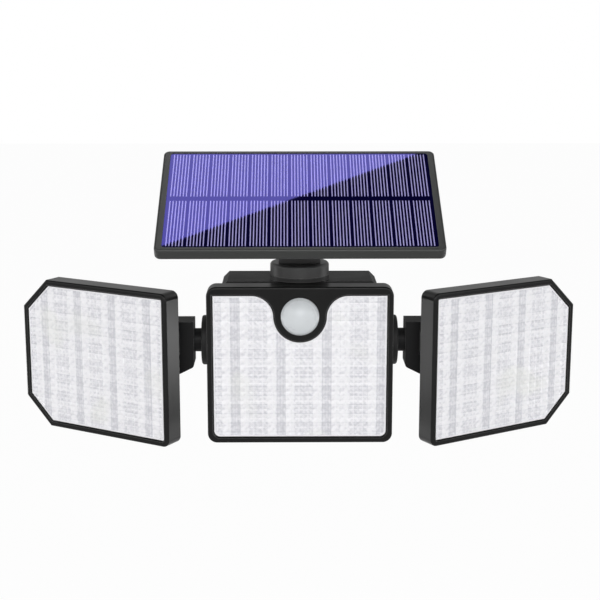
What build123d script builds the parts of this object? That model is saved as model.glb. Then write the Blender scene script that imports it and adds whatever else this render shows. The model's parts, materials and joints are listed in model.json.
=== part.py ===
from build123d import *
from math import asin, degrees, sqrt
import os

os.makedirs("parts", exist_ok=True)

# Solar wall light with three lamp heads, in millimetres and degrees.
# +X is to the viewer's right, +Y goes into the wall, +Z is up.
# The origin is the centre of the wall bracket's rear face.

# ---- clearances ----
face_gap = 0.2          # between flat faces that slide or are sealed
fit_gap = 0.15          # round a piece that drops into a housing
running_gap = 0.06      # radial, round a pin or a journal
bolt_gap = 0.05         # radial, round a fixed bolt or screw

# ---- depths behind one another, from the wall to the front ----
bracket_depth = 25.0
case_depth = 39.0
neck_depth = 6.6
bezel_depth = 14.4

# ---- lamp heads ----
head_width = 123.0
centre_height = 106.0
side_height = 105.0
centre_corner = 6.3     # corner radius of the centre head
side_corner = 5.0       # inner corners of a side head
cut_across = 21.0       # outer corners of a side head, cut off at a slant
cut_up = 20.0
border = 4.2            # bezel front round the lens
top_border = 6.0        # the same above the centre lens
edge_round = 1.4
lip = 2.5               # thickness of the bezel front
lip_bevel = 0.9         # slant from the bezel front down to the lens
bezel_wall = 2.4
gasket_step = 0.9       # ledge that carries the gasket
gasket_thickness = 1.0
rim_thickness = 2.5     # closing plate in the back of the bezel
least_corner = 0.6      # radius left where an inset eats a corner
window_corner = 4.0

# ---- sensor in the centre bezel ----
sensor_diameter = 25.0
sensor_drop = 19.8      # centre of the sensor below the head's top
sensor_ring = 17.5      # outer radius of the bezel round the sensor
shoulder_radius = 14.5  # lens corner that flows into the sensor ring
dome_height = 7.5
dome_wall = 0.9
dome_flange = 1.6
dome_flange_width = 1.4
sensor_tube = 8.2       # depth of the tube round the dome
sensor_tube_wall = 1.6
can_diameter = 8.2
can_height = 4.2
can_rim = 0.5           # base flange of the can, beyond its side
can_rim_height = 0.7
sensor_board_thickness = 1.6
sensor_pillar = 18.0    # tube that backs the sensor board

# ---- lens, LED board ----
lens_recess = 0.9
lens_sheet = 1.6
lens_rim = 1.0          # flat edge of the lens round its prisms
prism_pitch = 6.0
prism_height = 0.8
board_thickness = 1.6
board_front = 6.6       # depth of the board's front behind the bezel face
board_inset = 10.6
led_width = 2.8
led_height = 3.5
led_depth = 0.8
led_columns = 7
led_rows = 6
led_pitch_across = 12.5
led_pitch_up = 11.0
board_post = 5.0
post_across = 37.5      # posts under the LED board, from the head's centre
post_up = 27.5

# ---- screws ----
screw_shank = 2.6
screw_head = 5.0
screw_head_height = 1.8
screw_head_round = 0.6
screw_grip = 6.0
boss_radius = 3.4
boss_inset = 5.5        # boss centre from the sides of a head

# ---- rear shell of a side head ----
shell_rise = 5.6
shell_foot = 11.5       # foot of the shell's slope, from the outline
shell_slope = 8.0
shell_wall = 2.2

# ---- arms and head hinges ----
arm_height = 9.0        # swivel axis of the arms above the origin
arm_forward = 47.0      # and in front of the wall
boss_diameter = 34.0
boss_length = 14.1      # how far the side bosses stand out of the case
journal_diameter = 14.0
neck_diameter = 16.0
neck_length = 5.4       # from the side boss to the fork
fork_length = 18.0      # from the fork's inner face to the hinge pin
fork_radius = 9.5
fork_up = 14.5          # fork above and below the arm axis
fork_down = 17.0
fork_drop = 5.0         # lower cheek slants down further, for the nut
fork_slant = 10.0       # run of that slant
fork_corner = 3.0
lug_height = 16.0
lug_radius = 8.0
bolt_diameter = 5.0
bolt_head = 9.0
bolt_head_height = 2.6
nut_flats = 8.0
nut_height = 4.0
washer_thickness = 1.5
washer_diameter = 22.0
end_screw_diameter = 5.0
end_screw_head = 9.5
end_screw_head_height = 3.0
end_screw_length = 12.0
seal_section = 2.0
head_yaw = 30.6         # side heads turned outward at rest
head_drop = 13.6        # centre of a side head below the arm axis
hinge_inset = 20.2      # hinge pin from the head's inner edge
hinge_setback = 30.4    # hinge pin behind the head's front

# ---- battery case and its back cover ----
case_width = 105.0
case_height = 106.0
case_corner = 4.0
case_wall = 2.5
cover_thickness = 3.0
cover_gasket = 1.0
cover_gasket_width = 2.2
cover_boss_inset = 7.0
neck_inset = 8.0        # joining neck, inside the case's outline
neck_wall = 3.0
neck_screw_across = 38.0
neck_screw_up = 36.0
cable_hole = 12.0

# ---- swivel and panel hinge ----
swivel_forward = 53.0   # swivel axis in front of the wall
collar_diameter = 39.6
shelf_height = 3.0
shelf_clear = 0.4       # shelf over the centre bezel
collar_height = 8.4
collar_round = 2.0
spindle_diameter = 11.0
spindle_boss_wall = 3.5
spindle_boss_depth = 6.0
swivel_washer_diameter = 16.0
knuckle_width = 28.0
knuckle_radius = 8.0
panel_pivot_height = 91.6
panel_lug_width = 12.0
panel_offset = 12.0     # hinge pin below the panel's underside
panel_bolt_head_depth = 3.0
slot_margin = 4.0       # slots cut this far past what they cut

# ---- solar panel ----
panel_width = 185.5
panel_length = 104.0
panel_thickness = 8.0
panel_corner = 4.0
panel_edge_round = 1.5
panel_tilt = 32.0       # from level, near edge down
panel_rim_side = 4.7
panel_rim_end = 3.2
panel_floor = 2.0
laminate_corner = 2.0
solar_board_thickness = 2.0
cell_thickness = 0.3
cell_columns = 13
cell_gap = 1.2
cell_margin = 1.4
bus_gap = 4.4
cover_sheet = 1.0
cover_recess = 0.3
support_diameter = 10.0
support_across = 61.8
support_up = 52.0
bracket_plate = 3.0
bracket_plate_width = 46.0
bracket_plate_length = 32.0
bracket_screw_across = 36.0
bracket_screw_up = 22.0

# ---- batteries, boards, button ----
cell_diameter = 18.4
cell_length = 65.0
cell_pitch = 19.4
cell_floor_gap = 3.0
cell_cap = 6.2
cell_cap_height = 1.5
battery_shift = -14.0   # batteries sit to the left of the mode button
cradle_rib = 3.0
cradle_across = 16.25   # ribs from the middle of the batteries
control_width = 78.0
control_height = 38.0
control_lift = 14.0     # centre of the control board above the origin
control_post = 4.0
chip_width = 9.8
chip_height = 12.7
chip_pitch = 19.5
button_across = 34.0
button_diameter = 12.0
button_flange = 15.0
button_flange_height = 1.5
button_proud = 1.5
button_travel = 1.0
button_gap = 0.3
button_stem = 4.0
button_stem_height = 4.0
switch_body = 6.0
switch_height = 3.5
switch_board_size = 22.0
switch_post = 4.0

# ---- wall bracket ----
bracket_size = 96.0
bracket_corner = 8.0
bracket_base = 3.0
bracket_tube = 80.0
bracket_wall = 2.6
spigot_depth = 6.0
spigot_wall = 2.6
wall_screw_diameter = 5.0
wall_screw_spacing = 56.0
lock_screw_across = 24.0
lock_screw_length = 7.0

# ---- worked-out places ----
case_back = -bracket_depth
case_front = case_back - case_depth
head_back = case_front - neck_depth
head_front = head_back - bezel_depth
case_top = case_height / 2
case_side = case_width / 2
shell_end = case_back - cover_thickness - cover_gasket
gasket_depth = bezel_depth - rim_thickness - gasket_thickness
sensor_height = centre_height / 2 - sensor_drop
neck_half_width = case_side - neck_inset
neck_half_height = case_top - neck_inset
arm_y = -arm_forward
boss_reach = case_side + boss_length
fork_start = boss_reach + neck_length
hinge_reach = fork_start + fork_length
fork_top = arm_height + fork_up
fork_foot = arm_height - fork_down - fork_drop
swivel_y = -swivel_forward
collar_foot = case_top + shelf_height + face_gap
collar_top = collar_foot + collar_height


def facing(y, x=0.0, z=0.0):
    """A plane that looks at the viewer, at depth y."""
    return Plane(origin=(x, y, z), x_dir=(1, 0, 0), z_dir=(0, -1, 0))


def looking(side, x, y, z):
    """A plane that looks out to one side; side is -1 or 1."""
    return Plane(origin=(side * x, y, z), x_dir=(0, 1, 0), z_dir=(side, 0, 0))


centre_face = facing(head_front)

inward = Vector(1, 0, 0).rotate(Axis.Z, -head_yaw)
forward = Vector(0, -1, 0).rotate(Axis.Z, -head_yaw)
hinge_point = Vector(-hinge_reach, arm_y, arm_height)
side_centre = (
    hinge_point
    - inward * (head_width / 2 - hinge_inset)
    + forward * hinge_setback
    - Vector(0, 0, head_drop)
)
side_face = Plane(origin=side_centre, x_dir=inward, z_dir=forward)

panel_pivot = Vector(0, swivel_y, panel_pivot_height)
panel_normal = Vector(0, 0, 1).rotate(Axis.X, panel_tilt)
panel_under = Plane(
    origin=panel_pivot + panel_normal * panel_offset, x_dir=(1, 0, 0), z_dir=panel_normal
)


# ---- outlines seen from the front ----
def centre_outline(inset=0.0):
    """Rounded rectangle of the centre head."""
    with BuildSketch() as outline:
        RectangleRounded(
            head_width - 2 * inset,
            centre_height - 2 * inset,
            max(centre_corner - inset, least_corner),
        )
    return outline.sketch


def side_outline(inset=0.0):
    """Side head: the two outer corners cut at a slant, the inner two round."""
    half_width = head_width / 2
    half_height = side_height / 2
    with BuildSketch() as outline:
        with BuildLine():
            Polyline(
                (half_width, half_height),
                (cut_across - half_width, half_height),
                (-half_width, half_height - cut_up),
                (-half_width, cut_up - half_height),
                (cut_across - half_width, -half_height),
                (half_width, -half_height),
                close=True,
            )
        make_face()
        if inset > 0:
            offset(amount=-inset, kind=Kind.INTERSECTION)
        fillet(outline.vertices().group_by(Axis.X)[-1], max(side_corner - inset, least_corner))
    return outline.sketch


def centre_window(inset=0.0):
    """Lens opening of the centre head, with the bezel flowing round the sensor."""
    half = head_width / 2 - border - inset
    top = centre_height / 2 - top_border - inset
    bottom = border - centre_height / 2 + inset
    shoulder = shoulder_radius - inset
    ring = sensor_ring + inset
    shoulder_height = top - shoulder
    rise = sensor_height - shoulder_height
    shoulder_across = sqrt((shoulder + ring) ** 2 - rise**2)
    lean = degrees(asin(rise / (shoulder + ring)))
    with BuildSketch() as window:
        with BuildLine():
            top_left = Line((-half, top), (-shoulder_across, top))
            left_shoulder = JernArc(top_left @ 1, (1, 0), shoulder, lean - 90)
            ring_arc = JernArc(left_shoulder @ 1, left_shoulder % 1, ring, 180 - 2 * lean)
            right_shoulder = JernArc(ring_arc @ 1, ring_arc % 1, shoulder, lean - 90)
            Polyline(right_shoulder @ 1, (half, top), (half, bottom), (-half, bottom), (-half, top))
        make_face()
        fillet(window.vertices().group_by(Axis.Y)[0], window_corner)
    return window.sketch


def side_window(inset=0.0):
    """Lens opening of a side head."""
    return side_outline(border + inset)


def centre_boss_places():
    """Screw bosses of the centre head."""
    across = head_width / 2 - boss_inset
    up = centre_height / 2 - boss_inset
    return [(-across, -up), (-across, up), (across, -up), (across, up)]


def side_boss_places():
    """Screw bosses of a side head; the outer two stand beside the cut corners."""
    across = head_width / 2 - boss_inset
    up = side_height / 2 - boss_inset
    slant = sqrt(cut_across**2 + cut_up**2)
    outer = (head_width - cut_across) / 2 - boss_inset * cut_up / slant
    slant_up = (side_height - cut_up) / 2 - boss_inset * cut_across / slant
    return [(-outer, -slant_up), (-outer, slant_up), (across, -up), (across, up)]


# ---- pieces of a lamp head ----
def make_bezel(face, outline, window, boss_places):
    """Deep front frame: lip round the lens, side walls, gasket ledge and bosses."""
    front = Axis(face.origin, face.z_dir)
    with BuildPart() as bezel:
        with BuildSketch(face):
            add(outline())
        extrude(amount=-bezel_depth)
        fillet(bezel.faces().sort_by(front)[-1].edges(), edge_round)
        with BuildSketch(face):
            add(window())
        extrude(amount=-bezel_depth, mode=Mode.SUBTRACT)
        window_edges = bezel.faces().sort_by(front)[-1].inner_wires()[0].edges()
        chamfer(window_edges, lip_bevel)
        with BuildSketch(face.offset(-lip)):
            add(outline(bezel_wall + gasket_step))
        extrude(amount=lip - bezel_depth, mode=Mode.SUBTRACT)
        with BuildSketch(face.offset(-gasket_depth)):
            add(outline(bezel_wall))
        extrude(amount=gasket_depth - bezel_depth, mode=Mode.SUBTRACT)
        with BuildSketch(face.offset(-lip - lens_sheet - 2 * fit_gap)):
            with Locations(*boss_places):
                Circle(boss_radius)
        extrude(amount=lip + lens_sheet + 2 * fit_gap - gasket_depth)
        with BuildSketch(face.offset(-gasket_depth)):
            with Locations(*boss_places):
                Circle(screw_shank / 2 + bolt_gap)
        extrude(amount=screw_grip - rim_thickness, mode=Mode.SUBTRACT)
    return bezel


def make_prisms(face, window):
    """Field of low pyramids: two sets of ridges crossed and trimmed inside the lens's rim."""
    columns = int(head_width / prism_pitch / 2) + 1
    steps = range(-2 * columns, 2 * columns + 1)
    ridge_line = [(step * prism_pitch / 2, prism_height * (step % 2)) for step in steps]
    span = columns * prism_pitch
    foot = -lens_sheet
    base = face.offset(-lens_recess - prism_height)
    with BuildPart() as prisms:
        for across, along, mode in (
            (base.x_dir, base.y_dir, Mode.ADD),
            (base.y_dir, -base.x_dir, Mode.INTERSECT),
        ):
            with BuildSketch(Plane(origin=base.origin, x_dir=across, z_dir=-along)):
                with BuildLine():
                    Polyline((-span, foot), *ridge_line, (span, foot), close=True)
                make_face()
            extrude(amount=span, both=True, mode=mode)
        with BuildSketch(base.offset(-lens_sheet / 2)):
            add(window(fit_gap + lens_rim / 2))
        extrude(amount=lens_sheet, mode=Mode.INTERSECT)
    return prisms


def make_lens(face, outline, window, relief=None):
    """Moulded lens: a sheet held behind the lip, raised into the window as rim and prisms."""
    with BuildPart() as lens:
        with BuildSketch(face.offset(-lip - fit_gap)):
            add(outline(bezel_wall + gasket_step + fit_gap))
            if relief:
                with Locations((0, sensor_height)):
                    Circle(relief, mode=Mode.SUBTRACT)
        extrude(amount=-lens_sheet)
        with BuildSketch(face.offset(-lip - fit_gap)):
            add(window(fit_gap))
        extrude(amount=lip + fit_gap - lens_recess - prism_height)
        with BuildSketch(face.offset(-lens_recess - prism_height)):
            add(window(fit_gap))
            add(window(fit_gap + lens_rim), mode=Mode.SUBTRACT)
        extrude(amount=prism_height)
        add(make_prisms(face, window).part)
    return lens


def make_led_board(face, outline, relief=None):
    """Flat LED board on its posts."""
    with BuildPart() as board:
        with BuildSketch(face.offset(-board_front)):
            add(outline(board_inset))
            if relief:
                with Locations((0, sensor_height)):
                    Circle(relief, mode=Mode.SUBTRACT)
                with Locations((0, sensor_height + relief)):
                    Rectangle(2 * relief, 2 * relief, mode=Mode.SUBTRACT)
        extrude(amount=-board_thickness)
    return board


def led_places(keep_clear=None):
    """Grid of LED centres, left out round the sensor where keep_clear is its radius."""
    places = []
    for column in range(led_columns):
        for row in range(led_rows):
            x = (column - (led_columns - 1) / 2) * led_pitch_across
            z = (row - (led_rows - 1) / 2) * led_pitch_up
            near_sensor = keep_clear and abs(x) < keep_clear and z > sensor_height - keep_clear
            if not near_sensor:
                places.append((x, z))
    return places


def make_leds(face, keep_clear=None):
    """LED chips soldered to the front of the board."""
    with BuildPart() as leds:
        with BuildSketch(face.offset(-board_front)):
            with Locations(*led_places(keep_clear)):
                Rectangle(led_width, led_height)
        extrude(amount=led_depth)
    return leds


def make_head_gasket(face, outline):
    """Seal between the bezel's ledge and the closing plate."""
    with BuildPart() as gasket:
        with BuildSketch(face.offset(-gasket_depth)):
            add(outline(bezel_wall + fit_gap))
            add(outline(bezel_wall + fit_gap + gasket_step), mode=Mode.SUBTRACT)
        extrude(amount=-gasket_thickness)
    return gasket


def make_screws(plane, places, grip=screw_grip):
    """Pan-head screws driven into a face; plane looks along the way out."""
    with BuildPart() as screws:
        with BuildSketch(plane):
            with Locations(*places):
                Circle(screw_shank / 2)
        extrude(amount=-grip)
        with BuildSketch(plane):
            with Locations(*places):
                Circle(screw_head / 2)
        extrude(amount=screw_head_height)
        heads = screws.faces().filter_by(Plane(plane.origin, z_dir=plane.z_dir)).group_by(
            Axis(plane.origin, plane.z_dir)
        )[-1]
        fillet(heads.edges(), screw_head_round)
    return screws


# ---- centre head ----
def make_centre_bezel():
    """Bezel of the centre head with the sensor peninsula and its tube."""
    bore = sensor_diameter / 2 + fit_gap
    tube = bore + dome_flange_width + sensor_tube_wall
    bezel = make_bezel(centre_face, centre_outline, centre_window, centre_boss_places())
    with BuildPart() as centre:
        add(bezel.part)
        with BuildSketch(centre_face.offset(-lip)):
            with Locations((0, sensor_height)):
                Circle(tube)
        extrude(amount=lip - sensor_tube)
        with BuildSketch(centre_face.offset(-lip)):
            with Locations((0, sensor_height)):
                Circle(tube - sensor_tube_wall)
        extrude(amount=lip - sensor_tube, mode=Mode.SUBTRACT)
        with BuildSketch(centre_face):
            with Locations((0, sensor_height)):
                Circle(bore)
        extrude(amount=-bezel_depth, mode=Mode.SUBTRACT)
    return centre


def make_sensor_dome():
    """Domed sensor lens with a flange behind the bezel."""
    radius = sensor_diameter / 2
    curve = (radius**2 + dome_height**2) / (2 * dome_height)
    flange = radius + dome_flange_width
    origin = (0, head_front, sensor_height)
    with BuildPart() as dome:
        with BuildSketch(Plane(origin=origin, x_dir=(1, 0, 0), z_dir=(0, 0, 1))):
            with BuildLine():
                outer_arc = JernArc((0, -dome_height), (1, 0), curve, degrees(asin(radius / curve)))
                inner_radius = sqrt((curve - dome_wall) ** 2 - (curve - dome_height) ** 2)
                inner_arc = JernArc(
                    (0, dome_wall - dome_height),
                    (1, 0),
                    curve - dome_wall,
                    degrees(asin(inner_radius / (curve - dome_wall))),
                )
                Polyline(
                    outer_arc @ 1,
                    (radius, lip),
                    (flange, lip),
                    (flange, lip + dome_flange),
                    (inner_radius, lip + dome_flange),
                    inner_arc @ 1,
                )
                Line(inner_arc @ 0, outer_arc @ 0)
            make_face()
        revolve(axis=Axis(origin, (0, 1, 0)))
    return dome


def make_sensor_board():
    """Round board on the end of the sensor tube."""
    radius = sensor_diameter / 2 + fit_gap + dome_flange_width + sensor_tube_wall
    with BuildPart() as board:
        with BuildSketch(centre_face.offset(-sensor_tube)):
            with Locations((0, sensor_height)):
                Circle(radius)
        extrude(amount=-sensor_board_thickness)
    return board


def make_sensor_can():
    """Metal sensor can with its base flange, on the sensor board."""
    with BuildPart() as can:
        with BuildSketch(centre_face.offset(-sensor_tube)):
            with Locations((0, sensor_height)):
                Circle(can_diameter / 2 + can_rim)
        extrude(amount=can_rim_height)
        with BuildSketch(centre_face.offset(-sensor_tube)):
            with Locations((0, sensor_height)):
                Circle(can_diameter / 2)
        extrude(amount=can_height)
    return can


def make_centre_housing():
    """Closing plate of the centre head and the neck that joins it to the case."""
    plate_front = bezel_depth - rim_thickness
    board_back = board_front + board_thickness
    sensor_back = sensor_tube + sensor_board_thickness
    with BuildPart() as housing:
        with BuildSketch(centre_face.offset(-plate_front)):
            add(centre_outline(bezel_wall + fit_gap))
        extrude(amount=-rim_thickness)
        with BuildSketch(centre_face.offset(-bezel_depth)):
            RectangleRounded(2 * neck_half_width, 2 * neck_half_height, case_corner)
            RectangleRounded(
                2 * (neck_half_width - neck_wall),
                2 * (neck_half_height - neck_wall),
                case_corner - neck_wall / 2,
                mode=Mode.SUBTRACT,
            )
            with GridLocations(2 * neck_screw_across, 2 * neck_screw_up, 2, 2):
                Circle(boss_radius)
        extrude(amount=-neck_depth)
        with BuildSketch(centre_face.offset(-plate_front)):
            with GridLocations(2 * post_across, 2 * post_up, 2, 2):
                Circle(board_post / 2)
        extrude(amount=plate_front - board_back)
        with BuildSketch(centre_face.offset(-plate_front)):
            with Locations((0, sensor_height)):
                Circle(sensor_pillar / 2)
        extrude(amount=plate_front - sensor_back)
        with BuildSketch(centre_face.offset(-sensor_back)):
            Circle(cable_hole / 2)
            with Locations((0, sensor_height)):
                Circle(sensor_pillar / 2 - neck_wall)
        extrude(amount=-bezel_depth, mode=Mode.SUBTRACT)
        with BuildSketch(centre_face.offset(-plate_front)):
            with Locations(*centre_boss_places()):
                Circle(screw_shank / 2 + bolt_gap)
        extrude(amount=-rim_thickness, mode=Mode.SUBTRACT)
        with BuildSketch(facing(case_front)):
            with GridLocations(2 * neck_screw_across, 2 * neck_screw_up, 2, 2):
                Circle(screw_shank / 2 + bolt_gap)
        extrude(amount=screw_grip - case_wall, mode=Mode.SUBTRACT)
    return housing


# ---- side head, modelled for the left ----
def make_rear_shell():
    """Back of a side head: closing plate, shallow sloped shell, posts and hinge lug."""
    plate_front = bezel_depth - rim_thickness
    shell_depth = bezel_depth + shell_rise
    board_back = board_front + board_thickness
    with BuildPart() as shell:
        with BuildSketch(side_face.offset(-plate_front)):
            add(side_outline(bezel_wall + fit_gap))
        extrude(amount=-rim_thickness)
        with BuildSketch(side_face.offset(-bezel_depth)):
            add(side_outline(shell_foot))
        with BuildSketch(side_face.offset(-shell_depth)):
            add(side_outline(shell_foot + shell_slope))
        loft(ruled=True)
        with BuildSketch(side_face.offset(-plate_front)):
            add(side_outline(shell_foot + shell_wall))
        with BuildSketch(side_face.offset(shell_wall - shell_depth)):
            add(side_outline(shell_foot + shell_slope + shell_wall))
        loft(ruled=True, mode=Mode.SUBTRACT)
        with BuildSketch(side_face.offset(-board_back)):
            with GridLocations(2 * post_across, 2 * post_up, 2, 2):
                Circle(board_post / 2)
        extrude(amount=board_back - shell_depth + shell_wall / 2)
        with BuildSketch(side_face.offset(-plate_front)):
            with Locations(*side_boss_places()):
                Circle(screw_shank / 2 + bolt_gap)
        extrude(amount=-rim_thickness, mode=Mode.SUBTRACT)
        lug_plane = Plane(
            origin=hinge_point - Vector(0, 0, lug_height / 2), x_dir=inward, z_dir=(0, 0, 1)
        )
        with BuildSketch(lug_plane):
            Circle(lug_radius)
            with Locations((0, (plate_front - hinge_setback) / 2)):
                Rectangle(2 * lug_radius, hinge_setback - plate_front)
        extrude(amount=lug_height)
        with BuildSketch(lug_plane):
            Circle(bolt_diameter / 2 + running_gap)
        extrude(amount=lug_height, mode=Mode.SUBTRACT)
    return shell


def make_arm():
    """Journal in the case boss, round neck, and the fork that holds the head's hinge."""
    fork_end = hinge_reach + fork_radius
    slot_bottom = arm_height - lug_height / 2 - face_gap
    journal_end = case_side - case_wall - face_gap
    with BuildPart() as arm:
        with BuildSketch(Plane.XY.offset(fork_foot)):
            with Locations((-hinge_reach, arm_y)):
                Circle(fork_radius)
            with Locations(((-hinge_reach - fork_start) / 2, arm_y)):
                Rectangle(hinge_reach - fork_start, 2 * fork_radius)
        extrude(amount=fork_top - fork_foot)
        with BuildSketch(facing(arm_y)) as side_view:
            with BuildLine():
                Polyline(
                    (-fork_end, fork_top),
                    (-fork_start, fork_top),
                    (-fork_start, arm_height - fork_down),
                    (-fork_start - fork_slant, fork_foot),
                    (-fork_end, fork_foot),
                    close=True,
                )
            make_face()
            fillet(side_view.vertices().group_by(Axis.X)[-1].sort_by(Axis.Y)[0], fork_corner)
        extrude(amount=fork_radius, both=True, mode=Mode.INTERSECT)
        with BuildSketch(Plane.XY.offset(slot_bottom)):
            with Locations((-hinge_reach, arm_y)):
                Circle(lug_radius + 2 * face_gap)
            with Locations((-hinge_reach - fork_radius, arm_y)):
                Rectangle(2 * fork_radius, 2 * fork_radius)
            with Locations((-hinge_reach, arm_y - fork_radius)):
                Rectangle(2 * lug_radius + 4 * face_gap, 2 * fork_radius)
        extrude(amount=lug_height + 2 * face_gap, mode=Mode.SUBTRACT)
        with BuildSketch(looking(-1, fork_start, arm_y, arm_height)):
            Circle(neck_diameter / 2)
        extrude(amount=boss_reach + face_gap - fork_start)
        with BuildSketch(looking(-1, boss_reach + face_gap, arm_y, arm_height)):
            Circle(journal_diameter / 2)
        extrude(amount=journal_end - boss_reach - face_gap)
        with BuildSketch(looking(-1, journal_end, arm_y, arm_height)):
            Circle(end_screw_diameter / 2 + bolt_gap)
        extrude(amount=end_screw_length, mode=Mode.SUBTRACT)
        seal_x = (case_side + boss_reach) / 2
        with BuildSketch(looking(-1, seal_x, arm_y, arm_height)):
            Circle(journal_diameter)
            Circle(journal_diameter / 2 - seal_section - running_gap, mode=Mode.SUBTRACT)
        extrude(amount=seal_section / 2 + face_gap, both=True, mode=Mode.SUBTRACT)
        with BuildSketch(Plane.XY.offset(fork_foot)):
            with Locations((-hinge_reach, arm_y)):
                Circle(bolt_diameter / 2 + bolt_gap)
        extrude(amount=fork_top - fork_foot, mode=Mode.SUBTRACT)
        with BuildSketch(Plane.XY.offset(fork_top - bolt_head_height)):
            with Locations((-hinge_reach, arm_y)):
                Circle(bolt_head / 2 + fit_gap)
        extrude(amount=bolt_head_height, mode=Mode.SUBTRACT)
        with BuildSketch(Plane.XY.offset(fork_foot)):
            with Locations((-hinge_reach, arm_y)):
                RegularPolygon(nut_flats / 2 + fit_gap, 6, major_radius=False)
        extrude(amount=nut_height, mode=Mode.SUBTRACT)
    return arm


def make_seal_ring():
    """Rubber ring in the journal's groove."""
    seal_x = (case_side + boss_reach) / 2
    middle = (journal_diameter - seal_section) / 2
    with BuildPart() as ring:
        with BuildSketch(Plane(origin=(-seal_x, arm_y, arm_height), x_dir=(1, 0, 0), z_dir=(0, -1, 0))):
            with Locations((0, middle)):
                Circle(seal_section / 2)
        revolve(axis=Axis((-seal_x, arm_y, arm_height), (1, 0, 0)))
    return ring


def make_washer(plane, diameter, hole):
    """Flat washer lying on a plane."""
    with BuildPart() as washer:
        with BuildSketch(plane):
            Circle(diameter / 2)
            Circle(hole / 2 + bolt_gap, mode=Mode.SUBTRACT)
        extrude(amount=washer_thickness)
    return washer


def make_end_screw(plane):
    """Screw with a round head that clamps a washer; plane looks along the way out."""
    with BuildPart() as screw:
        with BuildSketch(plane):
            Circle(end_screw_diameter / 2)
        extrude(amount=washer_thickness - end_screw_length)
        with BuildSketch(plane):
            Circle(end_screw_diameter / 2)
        extrude(amount=washer_thickness)
        with BuildSketch(plane.offset(washer_thickness)):
            Circle(end_screw_head / 2)
        extrude(amount=end_screw_head_height)
        with BuildSketch(plane.offset(washer_thickness + end_screw_head_height)):
            RegularPolygon(end_screw_diameter / 2, 6)
        extrude(amount=-end_screw_head_height / 2, mode=Mode.SUBTRACT)
    return screw


def make_bolt(head_plane, length):
    """Round-head bolt; head_plane lies under the head and looks along the way out."""
    with BuildPart() as bolt:
        with BuildSketch(head_plane):
            Circle(bolt_diameter / 2)
        extrude(amount=-length)
        with BuildSketch(head_plane):
            Circle(bolt_head / 2)
        extrude(amount=bolt_head_height - face_gap)
        with BuildSketch(head_plane.offset(bolt_head_height - face_gap)):
            RegularPolygon(bolt_diameter / 2, 6)
        extrude(amount=-bolt_head_height / 2, mode=Mode.SUBTRACT)
    return bolt


def make_nut(plane):
    """Hexagon nut lying on a plane."""
    with BuildPart() as nut:
        with BuildSketch(plane):
            RegularPolygon(nut_flats / 2, 6, major_radius=False)
            Circle(bolt_diameter / 2 + bolt_gap, mode=Mode.SUBTRACT)
        extrude(amount=nut_height - face_gap)
    return nut


# ---- battery case ----
def case_outline(inset=0.0):
    """Front view of the battery case, corners cut."""
    with BuildSketch() as outline:
        Rectangle(case_width - 2 * inset, case_height - 2 * inset)
        chamfer(outline.vertices(), max(case_corner - inset / 2, least_corner))
    return outline.sketch


def cover_boss_places():
    """Screws of the back cover, near the case's corners."""
    across = case_side - cover_boss_inset
    up = case_top - cover_boss_inset
    return [(-across, -up), (-across, up), (across, -up), (across, up)]


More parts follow.
